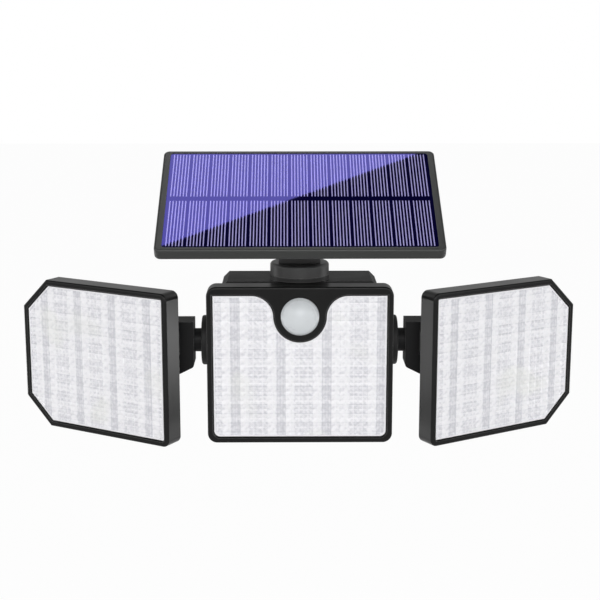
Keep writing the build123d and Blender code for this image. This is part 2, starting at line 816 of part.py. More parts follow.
def make_battery_case():
    """Case body: front wall, side bosses, swivel shelf, cradle ribs and screw bosses."""
    inside_front = case_front + case_wall
    shelf_front = swivel_y - collar_diameter / 2
    cell_rest = inside_front + cell_floor_gap
    with BuildPart() as case:
        with BuildSketch(facing(case_front)):
            add(case_outline())
        extrude(amount=case_front - shell_end)
        with BuildSketch(facing(inside_front)):
            add(case_outline(case_wall))
        extrude(amount=inside_front - shell_end, mode=Mode.SUBTRACT)
        # bosses that carry the arms
        for side in (-1, 1):
            with BuildSketch(looking(side, case_side - case_wall, arm_y, arm_height)):
                Circle(boss_diameter / 2)
            extrude(amount=boss_reach - case_side + case_wall)
        outer_faces = case.faces().filter_by(Axis.X).filter_by(
            lambda found: abs(found.center().X) > boss_reach - fit_gap
        )
        fillet(outer_faces.edges(), edge_round)
        # shelf under the collar, lifted clear of the centre bezel
        with BuildSketch(Plane.XY.offset(case_top)):
            with Locations((0, swivel_y)):
                Circle(collar_diameter / 2)
        extrude(amount=shelf_height)
        with BuildSketch(Plane.XY.offset(case_top)):
            with Locations((0, (case_front + shelf_front) / 2)):
                Rectangle(collar_diameter, case_front - shelf_front)
        extrude(amount=shelf_clear, mode=Mode.SUBTRACT)
        with BuildSketch(Plane.XY.offset(case_top - case_wall)):
            with Locations((0, swivel_y)):
                Circle(spindle_diameter / 2 + spindle_boss_wall)
        extrude(amount=-spindle_boss_depth)
        # screw bosses of the back cover
        with BuildSketch(facing(inside_front)):
            with Locations(*cover_boss_places()):
                Circle(boss_radius)
        extrude(amount=inside_front - shell_end)
        # ribs that cradle the batteries
        with BuildSketch(facing(inside_front)):
            with Locations((battery_shift, battery_middle())):
                with GridLocations(2 * cradle_across, cell_pitch, 2, 1):
                    Rectangle(cradle_rib, 2 * cell_pitch)
        extrude(amount=-cell_floor_gap - cell_diameter / 2)
        for row in (-1, 1):
            with BuildSketch(looking(1, battery_shift, cell_rest + cell_diameter / 2, battery_height(row))):
                Circle(cell_diameter / 2 + fit_gap)
            extrude(amount=cell_length / 2, both=True, mode=Mode.SUBTRACT)
        # posts of the control board and of the switch board
        with BuildSketch(facing(inside_front, z=control_lift)):
            with GridLocations(control_width - 2 * control_post, control_height - 2 * control_post, 2, 2):
                Circle(control_post / 2)
        extrude(amount=-control_post)
        with BuildSketch(Plane.XY.offset(case_wall - case_top)):
            with Locations((button_across, arm_y)):
                with GridLocations(switch_board_size - switch_post, switch_board_size - switch_post, 2, 2):
                    Circle(switch_post / 2)
        extrude(amount=switch_board_lift() - case_wall + case_top)
        # bores
        for side in (-1, 1):
            with BuildSketch(looking(side, boss_reach, arm_y, arm_height)):
                Circle(journal_diameter / 2 + running_gap)
            extrude(amount=case_side - case_wall - boss_reach, mode=Mode.SUBTRACT)
        with BuildSketch(Plane.XY.offset(case_top + shelf_height)):
            with Locations((0, swivel_y)):
                Circle(spindle_diameter / 2 + running_gap)
        extrude(amount=-shelf_height - case_wall - spindle_boss_depth, mode=Mode.SUBTRACT)
        with BuildSketch(facing(case_front)):
            Circle(cable_hole / 2)
            with GridLocations(2 * neck_screw_across, 2 * neck_screw_up, 2, 2):
                Circle(screw_shank / 2 + bolt_gap)
        extrude(amount=-case_wall, mode=Mode.SUBTRACT)
        with BuildSketch(facing(shell_end)):
            with Locations(*cover_boss_places()):
                Circle(screw_shank / 2 + bolt_gap)
        extrude(amount=screw_grip, mode=Mode.SUBTRACT)
        with BuildSketch(Plane.XY.offset(-case_top)):
            with Locations((button_across, arm_y)):
                Circle(button_diameter / 2 + button_gap)
        extrude(amount=case_wall, mode=Mode.SUBTRACT)
    return case


def battery_height(row):
    """Height of one battery's axis; row is -1 for the lower, 1 for the upper."""
    return battery_middle() + row * cell_pitch / 2


def battery_middle():
    """Height midway between the two batteries."""
    return case_wall + cell_floor_gap + cell_pitch - case_top


def switch_board_lift():
    """Underside of the switch board."""
    button_top = case_wall - case_top + button_flange_height + button_stem_height
    return button_top + button_travel + face_gap + switch_height


def make_batteries():
    """Two round cells side by side."""
    middle = case_front + case_wall + cell_floor_gap + cell_diameter / 2
    with BuildPart() as cells:
        for row in (-1, 1):
            with BuildSketch(looking(1, battery_shift, middle, battery_height(row))):
                Circle(cell_diameter / 2)
            extrude(amount=cell_length / 2, both=True)
            with BuildSketch(looking(1, battery_shift + cell_length / 2, middle, battery_height(row))):
                Circle(cell_cap / 2)
            extrude(amount=cell_cap_height)
    return cells


def make_control_board():
    """Charge and lamp control board with its chips, on four posts."""
    front = case_front + case_wall + control_post
    with BuildPart() as board:
        with BuildSketch(facing(front, z=control_lift)):
            Rectangle(control_width, control_height)
        extrude(amount=-board_thickness)
        with BuildSketch(facing(front + board_thickness, z=control_lift)):
            with GridLocations(chip_pitch, chip_height, 3, 1):
                Rectangle(chip_width, chip_height)
        extrude(amount=-board_thickness)
    return board


def make_switch_board():
    """Small board above the mode button, with the push switch under it."""
    lift = switch_board_lift()
    with BuildPart() as board:
        with BuildSketch(Plane.XY.offset(lift)):
            with Locations((button_across, arm_y)):
                Rectangle(switch_board_size, switch_board_size)
        extrude(amount=board_thickness)
        with BuildSketch(Plane.XY.offset(lift)):
            with Locations((button_across, arm_y)):
                Rectangle(switch_body, switch_body)
        extrude(amount=-switch_height)
    return board


def make_power_button():
    """Mode button: flange inside the case, cap through the floor, stem to the switch."""
    floor = case_wall - case_top
    with BuildPart() as button:
        with BuildSketch(Plane.XY.offset(floor + face_gap)):
            with Locations((button_across, arm_y)):
                Circle(button_flange / 2)
        extrude(amount=button_flange_height)
        with BuildSketch(Plane.XY.offset(floor + face_gap)):
            with Locations((button_across, arm_y)):
                Circle(button_diameter / 2)
        extrude(amount=-face_gap - case_wall - button_proud)
        fillet(button.faces().sort_by(Axis.Z)[0].edges(), button_proud / 2)
        with BuildSketch(Plane.XY.offset(floor + button_flange_height)):
            with Locations((button_across, arm_y)):
                Circle(button_stem / 2)
        extrude(amount=button_stem_height)
    return button


def make_cover_gasket():
    """Flat seal between the case and its back cover."""
    with BuildPart() as gasket:
        with BuildSketch(facing(shell_end)):
            add(case_outline())
            add(case_outline(cover_gasket_width), mode=Mode.SUBTRACT)
        extrude(amount=-cover_gasket)
    return gasket


def make_back_cover():
    """Back cover with the square spigot that the wall bracket takes."""
    spigot = bracket_tube - 2 * bracket_wall - 2 * fit_gap
    spigot_corner = bracket_corner - bracket_wall
    with BuildPart() as cover:
        with BuildSketch(facing(case_back - cover_thickness)):
            add(case_outline())
        extrude(amount=-cover_thickness)
        with BuildSketch(facing(case_back)):
            RectangleRounded(spigot, spigot, spigot_corner)
            RectangleRounded(
                spigot - 2 * spigot_wall,
                spigot - 2 * spigot_wall,
                spigot_corner - spigot_wall,
                mode=Mode.SUBTRACT,
            )
        extrude(amount=-spigot_depth)
        with BuildSketch(facing(case_back)):
            with Locations(*cover_boss_places()):
                Circle(screw_shank / 2 + bolt_gap)
        extrude(amount=cover_thickness, mode=Mode.SUBTRACT)
        with BuildSketch(Plane.XY.offset(-spigot / 2)):
            with Locations(*lock_screw_places()):
                Circle(screw_shank / 2 + bolt_gap)
        extrude(amount=spigot_wall, mode=Mode.SUBTRACT)
    return cover


def lock_screw_places():
    """Lock screws under the bracket, through tube and spigot."""
    depth = case_back + spigot_depth / 2
    return [(-lock_screw_across, depth), (lock_screw_across, depth)]


def make_wall_bracket():
    """Wall bracket: base with four screw holes, and the tube that holds the lamp off the wall."""
    with BuildPart() as bracket:
        with BuildSketch(facing(0)):
            RectangleRounded(bracket_size, bracket_size, bracket_corner)
        extrude(amount=bracket_base)
        fillet(bracket.faces().sort_by(Axis.Y)[0].edges(), edge_round)
        with BuildSketch(facing(-bracket_base)):
            RectangleRounded(bracket_tube, bracket_tube, bracket_corner)
            RectangleRounded(
                bracket_tube - 2 * bracket_wall,
                bracket_tube - 2 * bracket_wall,
                bracket_corner - bracket_wall,
                mode=Mode.SUBTRACT,
            )
        extrude(amount=bracket_depth - bracket_base)
        with BuildSketch(facing(0)):
            with GridLocations(wall_screw_spacing, wall_screw_spacing, 2, 2):
                Circle(wall_screw_diameter / 2)
        extrude(amount=bracket_base, mode=Mode.SUBTRACT)
        with BuildSketch(Plane.XY.offset(-bracket_tube / 2)):
            with Locations(*lock_screw_places()):
                Circle(screw_shank / 2 + bolt_gap)
        extrude(amount=bracket_wall, mode=Mode.SUBTRACT)
    return bracket


# ---- swivel ----
def make_swivel_base():
    """Collar on the shelf, spindle through it, and the forked knuckle of the panel hinge."""
    spindle_end = case_top - case_wall - spindle_boss_depth - face_gap
    slot_floor = panel_pivot_height - knuckle_radius - 2 * face_gap
    bolt_face = knuckle_width / 2 - panel_bolt_head_depth
    with BuildPart() as swivel:
        with BuildSketch(Plane.XY.offset(collar_foot)):
            with Locations((0, swivel_y)):
                Circle(collar_diameter / 2)
        extrude(amount=collar_height)
        fillet(swivel.faces().sort_by(Axis.Z)[-1].edges(), collar_round)
        with BuildSketch(Plane.XY.offset(collar_foot)):
            with Locations((0, swivel_y)):
                Circle(spindle_diameter / 2)
        extrude(amount=spindle_end - collar_foot)
        with BuildSketch(Plane.XY.offset(collar_top)):
            with Locations((0, swivel_y)):
                Rectangle(knuckle_width, 2 * knuckle_radius)
        extrude(amount=panel_pivot_height - collar_top)
        with BuildSketch(looking(1, 0, swivel_y, panel_pivot_height)):
            Circle(knuckle_radius)
        extrude(amount=knuckle_width / 2, both=True)
        with BuildSketch(Plane.XY.offset(slot_floor)):
            with Locations((0, swivel_y)):
                Rectangle(panel_lug_width + 2 * face_gap, 2 * knuckle_radius + slot_margin)
        extrude(amount=2 * knuckle_radius + slot_margin, mode=Mode.SUBTRACT)
        with BuildSketch(looking(1, 0, swivel_y, panel_pivot_height)):
            Circle(bolt_diameter / 2 + bolt_gap)
        extrude(amount=knuckle_width / 2, both=True, mode=Mode.SUBTRACT)
        with BuildSketch(looking(1, bolt_face, swivel_y, panel_pivot_height)):
            Circle(bolt_head / 2 + fit_gap)
        extrude(amount=panel_bolt_head_depth, mode=Mode.SUBTRACT)
        with BuildSketch(looking(-1, knuckle_width / 2, swivel_y, panel_pivot_height)):
            RegularPolygon(nut_flats / 2 + fit_gap, 6, major_radius=False)
        extrude(amount=-nut_height, mode=Mode.SUBTRACT)
        with BuildSketch(Plane.XY.offset(spindle_end)):
            with Locations((0, swivel_y)):
                Circle(end_screw_diameter / 2 + bolt_gap)
        extrude(amount=end_screw_length, mode=Mode.SUBTRACT)
    return swivel


# ---- solar panel, built on its underside ----
def panel_pocket(inset=0.0):
    """Opening of the panel frame, seen square on."""
    with BuildSketch() as pocket:
        RectangleRounded(
            panel_width - 2 * panel_rim_side - 2 * inset,
            panel_length - 2 * panel_rim_end - 2 * inset,
            laminate_corner,
        )
    return pocket.sketch


def make_panel_frame():
    """Shallow tray with a rim round the cells."""
    up = Axis(panel_under.origin, panel_under.z_dir)
    with BuildPart() as frame:
        with BuildSketch(panel_under):
            RectangleRounded(panel_width, panel_length, panel_corner)
        extrude(amount=panel_thickness)
        fillet(frame.faces().sort_by(up)[-1].edges(), panel_edge_round)
        fillet(frame.faces().sort_by(up)[0].edges(), panel_edge_round)
        with BuildSketch(panel_under.offset(panel_floor)):
            add(panel_pocket())
        extrude(amount=panel_thickness, mode=Mode.SUBTRACT)
        with BuildSketch(panel_under):
            with GridLocations(bracket_screw_across, bracket_screw_up, 2, 2):
                Circle(screw_shank / 2 + bolt_gap)
        extrude(amount=panel_floor, mode=Mode.SUBTRACT)
    return frame


def solar_board_front():
    """Height of the solar board's upper face over the panel's underside."""
    return panel_thickness - cover_recess - cover_sheet - cell_thickness


def make_solar_board():
    """Board that carries the cells, filling the tray up to them."""
    with BuildPart() as board:
        with BuildSketch(panel_under.offset(solar_board_front())):
            add(panel_pocket(fit_gap))
        extrude(amount=-solar_board_thickness)
        with BuildSketch(panel_under.offset(panel_floor)):
            with GridLocations(support_across, support_up, 3, 2):
                Circle(support_diameter / 2)
        extrude(amount=solar_board_front() - solar_board_thickness - panel_floor)
    return board


def make_solar_cells():
    """Two rows of cells with a bus gap between the rows."""
    clear_width = panel_width - 2 * (panel_rim_side + fit_gap + cell_margin)
    clear_length = panel_length - 2 * (panel_rim_end + fit_gap + cell_margin)
    pitch = clear_width / cell_columns
    row_length = (clear_length - bus_gap) / 2
    with BuildPart() as cells:
        with BuildSketch(panel_under.offset(solar_board_front())):
            with GridLocations(pitch, row_length + bus_gap, cell_columns, 2):
                Rectangle(pitch - cell_gap, row_length)
        extrude(amount=cell_thickness)
    return cells


def make_solar_cover():
    """Clear sheet over the cells."""
    with BuildPart() as cover:
        with BuildSketch(panel_under.offset(solar_board_front() + cell_thickness)):
            add(panel_pocket(fit_gap))
        extrude(amount=cover_sheet)
    return cover


def make_panel_bracket():
    """Plate under the panel with the lug of the tilt hinge."""
    lug_plane = looking(1, 0, panel_pivot.Y, panel_pivot.Z)
    lean = Plane(origin=lug_plane.origin, x_dir=panel_under.y_dir, z_dir=(1, 0, 0))
    with BuildPart() as bracket:
        with BuildSketch(panel_under):
            RectangleRounded(bracket_plate_width, bracket_plate_length, panel_corner)
        extrude(amount=-bracket_plate)
        with BuildSketch(lean):
            Circle(knuckle_radius)
            with Locations((0, (panel_offset - bracket_plate / 2) / 2)):
                Rectangle(2 * knuckle_radius, panel_offset - bracket_plate / 2)
        extrude(amount=panel_lug_width / 2, both=True)
        with BuildSketch(lean):
            Circle(bolt_diameter / 2 + running_gap)
        extrude(amount=panel_lug_width, both=True, mode=Mode.SUBTRACT)
        with BuildSketch(panel_under):
            with GridLocations(bracket_screw_across, bracket_screw_up, 2, 2):
                Circle(screw_shank / 2 + bolt_gap)
        extrude(amount=-bracket_plate, mode=Mode.SUBTRACT)
    return bracket


def keep(name, piece):
    """Label one finished piece and write its file."""
    piece.part.label = name
    export_step(piece.part, f"parts/{name}.step")


# ---- centre head and battery case ----
sensor_relief = sensor_diameter / 2 + 2 * fit_gap + dome_flange_width + sensor_tube_wall
closing_face = facing(head_back)
closing_back = Plane(origin=closing_face.origin, x_dir=(-1, 0, 0), z_dir=(0, 1, 0))
inside_case = Plane(origin=(0, case_front + case_wall, 0), x_dir=(-1, 0, 0), z_dir=(0, 1, 0))
cover_outside = Plane(origin=(0, case_back, 0), x_dir=(-1, 0, 0), z_dir=(0, 1, 0))
bracket_underside = Plane(origin=(0, 0, -bracket_tube / 2), x_dir=(1, 0, 0), z_dir=(0, 0, -1))
neck_screw_places = [
    (across * neck_screw_across, up * neck_screw_up) for across in (-1, 1) for up in (-1, 1)
]

keep("centre_bezel", make_centre_bezel())
keep("centre_lens", make_lens(centre_face, centre_outline, centre_window, sensor_relief))
keep("centre_led_board", make_led_board(centre_face, centre_outline, sensor_relief + face_gap))
keep("centre_leds", make_leds(centre_face, sensor_relief + led_height))
keep("centre_gasket", make_head_gasket(centre_face, centre_outline))
keep("centre_housing", make_centre_housing())
keep("centre_screws", make_screws(closing_back, centre_boss_places()))
keep("sensor_dome", make_sensor_dome())
keep("sensor_board", make_sensor_board())
keep("sensor_can", make_sensor_can())
keep("battery_case", make_battery_case())
keep("neck_screws", make_screws(inside_case, neck_screw_places))
keep("batteries", make_batteries())
keep("control_board", make_control_board())
keep("switch_board", make_switch_board())
keep("power_button", make_power_button())
keep("cover_gasket", make_cover_gasket())
keep("back_cover", make_back_cover())
keep("cover_screws", make_screws(cover_outside, cover_boss_places(), screw_grip + cover_thickness))
keep("wall_bracket", make_wall_bracket())
keep(
    "lock_screws",
    make_screws(bracket_underside, [(x, -y) for x, y in lock_screw_places()], lock_screw_length),
)

# ---- side heads and arms: the right one is the mirror image of the left ----
side_back = Plane(
    origin=side_face.offset(-bezel_depth).origin, x_dir=-inward, z_dir=-forward
)
journal_end = looking(-1, case_side - case_wall - face_gap, arm_y, arm_height)
journal_out = Plane(origin=journal_end.origin, x_dir=(0, -1, 0), z_dir=(1, 0, 0))
hinge_head = Plane(origin=(-hinge_reach, arm_y, fork_top - bolt_head_height))
hinge_foot = Plane(origin=(-hinge_reach, arm_y, fork_foot + face_gap))
side_pieces = {
    "bezel": make_bezel(side_face, side_outline, side_window, side_boss_places()),
    "lens": make_lens(side_face, side_outline, side_window),
    "led_board": make_led_board(side_face, side_outline),
    "leds": make_leds(side_face),
    "gasket": make_head_gasket(side_face, side_outline),
    "rear_shell": make_rear_shell(),
    "shell_screws": make_screws(side_back, [(-x, z) for x, z in side_boss_places()]),
    "arm": make_arm(),
    "arm_seal": make_seal_ring(),
    "arm_washer": make_washer(journal_out, washer_diameter, end_screw_diameter),
    "arm_screw": make_end_screw(journal_out),
    "hinge_bolt": make_bolt(hinge_head, fork_top - bolt_head_height - fork_foot - face_gap),
    "hinge_nut": make_nut(hinge_foot),
}
for piece_name, piece in side_pieces.items():
    keep(f"left_{piece_name}", piece)
    with BuildPart() as mirrored:
        mirror(piece.part, about=Plane.YZ)
    keep(f"right_{piece_name}", mirrored)

# ---- swivel and solar panel ----
spindle_foot = case_top - case_wall - spindle_boss_depth - face_gap
spindle_plane = Plane(origin=(0, swivel_y, spindle_foot), x_dir=(1, 0, 0), z_dir=(0, 0, -1))
bolt_plane = looking(1, knuckle_width / 2 - panel_bolt_head_depth, swivel_y, panel_pivot_height)
nut_plane = looking(1, face_gap - knuckle_width / 2, swivel_y, panel_pivot_height)
bracket_plane = Plane(
    origin=panel_under.offset(-bracket_plate).origin, x_dir=(-1, 0, 0), z_dir=-panel_normal
)
bracket_screw_places = [
    (across * bracket_screw_across / 2, up * bracket_screw_up / 2) for across in (-1, 1) for up in (-1, 1)
]

keep("swivel_base", make_swivel_base())
keep("swivel_washer", make_washer(spindle_plane, swivel_washer_diameter, end_screw_diameter))
keep("swivel_screw", make_end_screw(spindle_plane))
keep("panel_bolt", make_bolt(bolt_plane, knuckle_width - panel_bolt_head_depth - face_gap))
keep("panel_nut", make_nut(nut_plane))
keep("panel_frame", make_panel_frame())
keep("solar_board", make_solar_board())
keep("solar_cells", make_solar_cells())
keep("solar_cover", make_solar_cover())
keep("panel_bracket", make_panel_bracket())
keep("bracket_screws", make_screws(bracket_plane, bracket_screw_places, bracket_plate + panel_floor))
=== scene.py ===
"""Finishes, small fittings and studio for a solar wall light with a motion sensor."""

import json
import math

import bmesh
import bpy
from bpy.props import FloatProperty, FloatVectorProperty, IntProperty, PointerProperty
from mathutils import Matrix, Vector

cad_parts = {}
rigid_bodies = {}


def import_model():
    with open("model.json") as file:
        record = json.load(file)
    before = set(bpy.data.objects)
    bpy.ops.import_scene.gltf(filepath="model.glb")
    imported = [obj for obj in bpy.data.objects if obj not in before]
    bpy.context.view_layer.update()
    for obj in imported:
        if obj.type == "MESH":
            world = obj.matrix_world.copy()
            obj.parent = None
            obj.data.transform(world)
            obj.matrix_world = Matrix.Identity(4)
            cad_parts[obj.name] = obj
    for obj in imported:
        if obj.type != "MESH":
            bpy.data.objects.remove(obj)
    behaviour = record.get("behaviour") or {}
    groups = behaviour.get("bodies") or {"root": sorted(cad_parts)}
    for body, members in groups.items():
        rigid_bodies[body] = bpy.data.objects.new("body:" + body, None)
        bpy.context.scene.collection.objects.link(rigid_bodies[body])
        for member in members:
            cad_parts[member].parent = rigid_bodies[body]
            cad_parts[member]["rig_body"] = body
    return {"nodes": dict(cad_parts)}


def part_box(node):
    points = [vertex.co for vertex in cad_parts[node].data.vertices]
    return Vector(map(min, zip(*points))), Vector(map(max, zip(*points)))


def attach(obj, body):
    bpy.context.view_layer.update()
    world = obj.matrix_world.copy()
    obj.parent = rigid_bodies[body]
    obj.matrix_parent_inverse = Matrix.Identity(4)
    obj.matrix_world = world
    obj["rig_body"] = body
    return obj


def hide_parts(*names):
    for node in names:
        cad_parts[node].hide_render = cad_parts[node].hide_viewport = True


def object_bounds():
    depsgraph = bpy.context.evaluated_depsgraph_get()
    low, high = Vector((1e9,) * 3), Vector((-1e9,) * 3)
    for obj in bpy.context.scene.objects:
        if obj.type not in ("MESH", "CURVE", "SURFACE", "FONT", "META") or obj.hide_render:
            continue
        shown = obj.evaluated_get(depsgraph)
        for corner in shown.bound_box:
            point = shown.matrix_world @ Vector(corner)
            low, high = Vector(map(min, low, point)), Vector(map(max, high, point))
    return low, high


bl_info = {
    "name": "Solar Wall Light Finishes",
    "version": (1, 0, 0),
    "blender": (4, 5, 0),
    "location": "3D View > Sidebar > Wall Light",
    "description": "Materials, screws, solar face, lamps and camera for a solar wall light",
    "category": "Object",
}

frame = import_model()
nodes = frame["nodes"]
cad_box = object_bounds()

MM = 0.001

# plastic finishes: grain size and grain depth
SATIN_GRAIN = (0.35 * MM, 0.012 * MM)
SHELL_GRAIN = (0.6 * MM, 0.05 * MM)
SWIVEL_GRAIN = (0.45 * MM, 0.02 * MM)
# smoother faces: cosines where the mask is none and full, and the coat's strength
WALL_COAT = (0.35, 0.25, 0.6)
RIM_COAT = (0.9, 0.99, 1.0)
# other finishes: roughness, spread of the colour, grain size and grain depth
RUBBER = (0.7, 0.3, 0.5 * MM, 0.03 * MM)
BOARD = (0.4, 0.05, 0.3 * MM, 0.01 * MM)
CHIP = (0.35, 0.08, 0.2 * MM, 0.01 * MM)
SLEEVE = (0.3, 0.1, 0.8 * MM, 0.01 * MM)

# lens columns from the left edge: L level ribs, H crossed ribs, D upright ribs
CENTRE_BANDS = "HLDLHHLDLHHLDLLHHLD"
SIDE_BANDS = "HLDLHHLDLHHLDLHHLDLH"
LENS_FOOT = 3.9 * MM  # from the lens's lower edge to its first whole row

CHIP_COLOUR = (0.85, 0.72, 0.25)
SLEEVE_COLOUR = (0.03, 0.12, 0.4)
PANEL_MARGIN = 1.2 * MM
LINE_RISE = 0.02 * MM

SCREW_PITCH = 0.9 * MM
SCREW_SEGMENTS = 32
DOME_STEPS = 6

CAMERA_SENSOR = 36  # millimetres wide
FLOOR_HALF_WIDTH = 6.0
FLOOR_GLOW = 0.96  # how far the floor is white to the camera

# soft lamps: place, width, height
FRONT_LAMP = ((0.0, -1.5, 0.7), 1.2, 0.4)
SIDE_LAMP = ((1.4, -0.9, 0.5), 0.35, 1.0)
RIM_LAMP = ((0.55, 0.16, -0.14), 0.06, 0.06)


# ---- what the frame tells ----
def body_of_node(name):
    """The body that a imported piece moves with."""
    return nodes[name]["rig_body"]


def face_plane(name):
    """Middle, across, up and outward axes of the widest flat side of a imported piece."""
    mesh = nodes[name].data
    areas = {}
    for polygon in mesh.polygons:
        key = tuple(round(value, 2) for value in polygon.normal)
        areas[key] = areas.get(key, 0.0) + polygon.area
    # the ends along x are left out, and faces to the back or below count for half
    flat = [key for key in areas if abs(key[0]) < 0.9]
    widest = max(flat, key=lambda key: areas[key] * (1.0 if key[1] < 0 or key[2] > 0 else 0.5))
    outward = Vector(widest).normalized()
    across = Vector((0, 0, 1)).cross(outward).normalized()
    up = outward.cross(across)
    points = [vertex.co for vertex in mesh.vertices]
    level = max(point.dot(outward) for point in points)
    middle = outward * level
    for axis in (across, up):
        reach = [point.dot(axis) for point in points]
        middle += axis * (min(reach) + max(reach)) / 2
    return middle, across, up, outward


def spans(name, middle, across, up):
    """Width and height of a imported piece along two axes."""
    points = [vertex.co - middle for vertex in nodes[name].data.vertices]
    sizes = []
    for axis in (across, up):
        reach = [point.dot(axis) for point in points]
        sizes.append(max(reach) - min(reach))
    return sizes


def loose_parts(name):
    """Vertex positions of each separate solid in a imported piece."""
    work = bmesh.new()
    work.from_mesh(nodes[name].data)
    bmesh.ops.remove_doubles(work, verts=work.verts, dist=MM / 1000)
    work.verts.index_update()
    seen = set()
    parts = []
    for start in work.verts:
        if start.index in seen:
            continue
        seen.add(start.index)
        stack = [start]
        part = []
        while stack:
            vertex = stack.pop()
            part.append(vertex.co.copy())
            for edge in vertex.link_edges:
                other = edge.other_vert(vertex)
                if other.index not in seen:
                    seen.add(other.index)
                    stack.append(other)
        parts.append(part)
    work.free()
    return parts


# ---- settings ----
class FinishSettings(bpy.types.PropertyGroup):
    """Colours and gloss of the light's surfaces."""

    housing_colour: FloatVectorProperty(
        name="Bezels", description="Satin black plastic of the heads' bezels",
        subtype="COLOR", size=3, min=0, max=1, default=(0.004, 0.004, 0.004),
    )
    # painted highlight: the swivel's black plastic is painted lighter than the bezels to stand in
    # for its highlight
    swivel_colour_and_highlight: FloatVectorProperty(
        name="Swivel", description="Collar and knuckle under the solar panel",
        subtype="COLOR", size=3, min=0, max=1, default=(0.045, 0.045, 0.045),
    )
    case_colour: FloatVectorProperty(
        name="Case", description="Battery case behind the middle head",
        subtype="COLOR", size=3, min=0, max=1, default=(0.02, 0.02, 0.02),
    )
    shell_colour: FloatVectorProperty(
        name="Shells", description="Grained shells and arms behind the faces",
        subtype="COLOR", size=3, min=0, max=1, default=(0.0085, 0.0085, 0.009),
    )
    frame_colour: FloatVectorProperty(
        name="Panel frame", description="Frame of the solar panel",
        subtype="COLOR", size=3, min=0, max=1, default=(0.011, 0.0125, 0.011),
    )
    housing_roughness: FloatProperty(
        name="Bezel roughness", description="Satin gloss; the other plastics are rougher",
        subtype="FACTOR", min=0, max=1, default=0.34,
    )
    lens_colour: FloatVectorProperty(
        name="Lens", description="White diffusing plastic in front of the lamps",
        subtype="COLOR", size=3, min=0, max=1, default=(0.93, 0.925, 0.955),
    )
    lens_tint: FloatVectorProperty(
        name="Lens tint", description="Faint warm patches where the lamp chips show through",
        subtype="COLOR", size=3, min=0, max=1, default=(0.84, 0.85, 0.80),
    )
    # painted shade: the colour the lens takes where its ribs would turn light away
    lens_painted_shade: FloatVectorProperty(
        name="Lens painted shade", description="The lens where its ribs turn light away",
        subtype="COLOR", size=3, min=0, max=1, default=(0.65, 0.65, 0.69),
    )
    sensor_colour: FloatVectorProperty(
        name="Sensor lens", description="Milky sensor dome",
        subtype="COLOR", size=3, min=0, max=1, default=(0.68, 0.71, 0.73),
    )
    cell_colour: FloatVectorProperty(
        name="Solar cells", description="Dark blue of the solar cells",
        subtype="COLOR", size=3, min=0, max=1, default=(0.0006, 0.0002, 0.02),
    )
    coat_tint: FloatVectorProperty(
        name="Panel reflection", description="Violet cast of what the solar panel reflects",
        subtype="COLOR", size=3, min=0, max=1, default=(0.10, 0.07, 1.0),
    )
    finger_colour: FloatVectorProperty(
        name="Contact lines", description="Printed silver lines on the cells",
        subtype="COLOR", size=3, min=0, max=1, default=(0.42, 0.39, 0.72),
    )
    steel_colour: FloatVectorProperty(
        name="Steel", description="Plated screws, bolts and washers",
        subtype="COLOR", size=3, min=0, max=1, default=(0.55, 0.55, 0.56),
    )
    rubber_colour: FloatVectorProperty(
        name="Rubber", description="Seals and the mode button",
        subtype="COLOR", size=3, min=0, max=1, default=(0.012, 0.012, 0.012),
    )
    board_colour: FloatVectorProperty(
        name="Boards", description="White solder mask of the boards",
        subtype="COLOR", size=3, min=0, max=1, default=(0.72, 0.74, 0.70),
    )


class DetailSettings(bpy.types.PropertyGroup):
    """Sizes of the details that the finishes carry."""

    column: FloatProperty(
        name="Lens column", description="Width of one moulded column of the middle lens",
        unit="LENGTH", min=1 * MM, max=20 * MM, default=6.04 * MM,
    )
    side_column: FloatProperty(
        name="Side lens column", description="Width of one moulded column of a side lens",
        unit="LENGTH", min=1 * MM, max=20 * MM, default=5.85 * MM,
    )
    row: FloatProperty(
        name="Lens row", description="Height of one moulded row of the lenses",
        unit="LENGTH", min=1 * MM, max=20 * MM, default=6.3 * MM,
    )
    rib: FloatProperty(
        name="Lens rib", description="Distance between the fine ribs in a lens square",
        unit="LENGTH", min=0.2 * MM, max=5 * MM, default=1 * MM,
    )
    columns: IntProperty(
        name="Cell columns", description="Solar cells side by side", min=1, max=40, default=13,
    )
    fingers: IntProperty(
        name="Contact lines", description="Printed lines on one cell", min=1, max=20, default=6,
    )
    finger_pitch: FloatProperty(
        name="Line pitch", description="Distance between the lines of one cell",
        unit="LENGTH", min=0.5 * MM, max=5 * MM, default=2.07 * MM,
    )
    finger_width: FloatProperty(
        name="Line width", description="Width of one printed line",
        unit="LENGTH", min=0.1 * MM, max=3 * MM, default=0.72 * MM,
    )
    bus_gap: FloatProperty(
        name="Row gap", description="Plain strip between the two rows of cells",
        unit="LENGTH", min=0, max=20 * MM, default=4.6 * MM,
    )
    # the lighter line along moulded edges is partly rubbed and partly a painted highlight
    edge_wear_and_highlight: FloatProperty(
        name="Edge wear", description="Width of the lighter line along moulded edges",
        unit="LENGTH", min=0, max=5 * MM, default=0.5 * MM,
    )


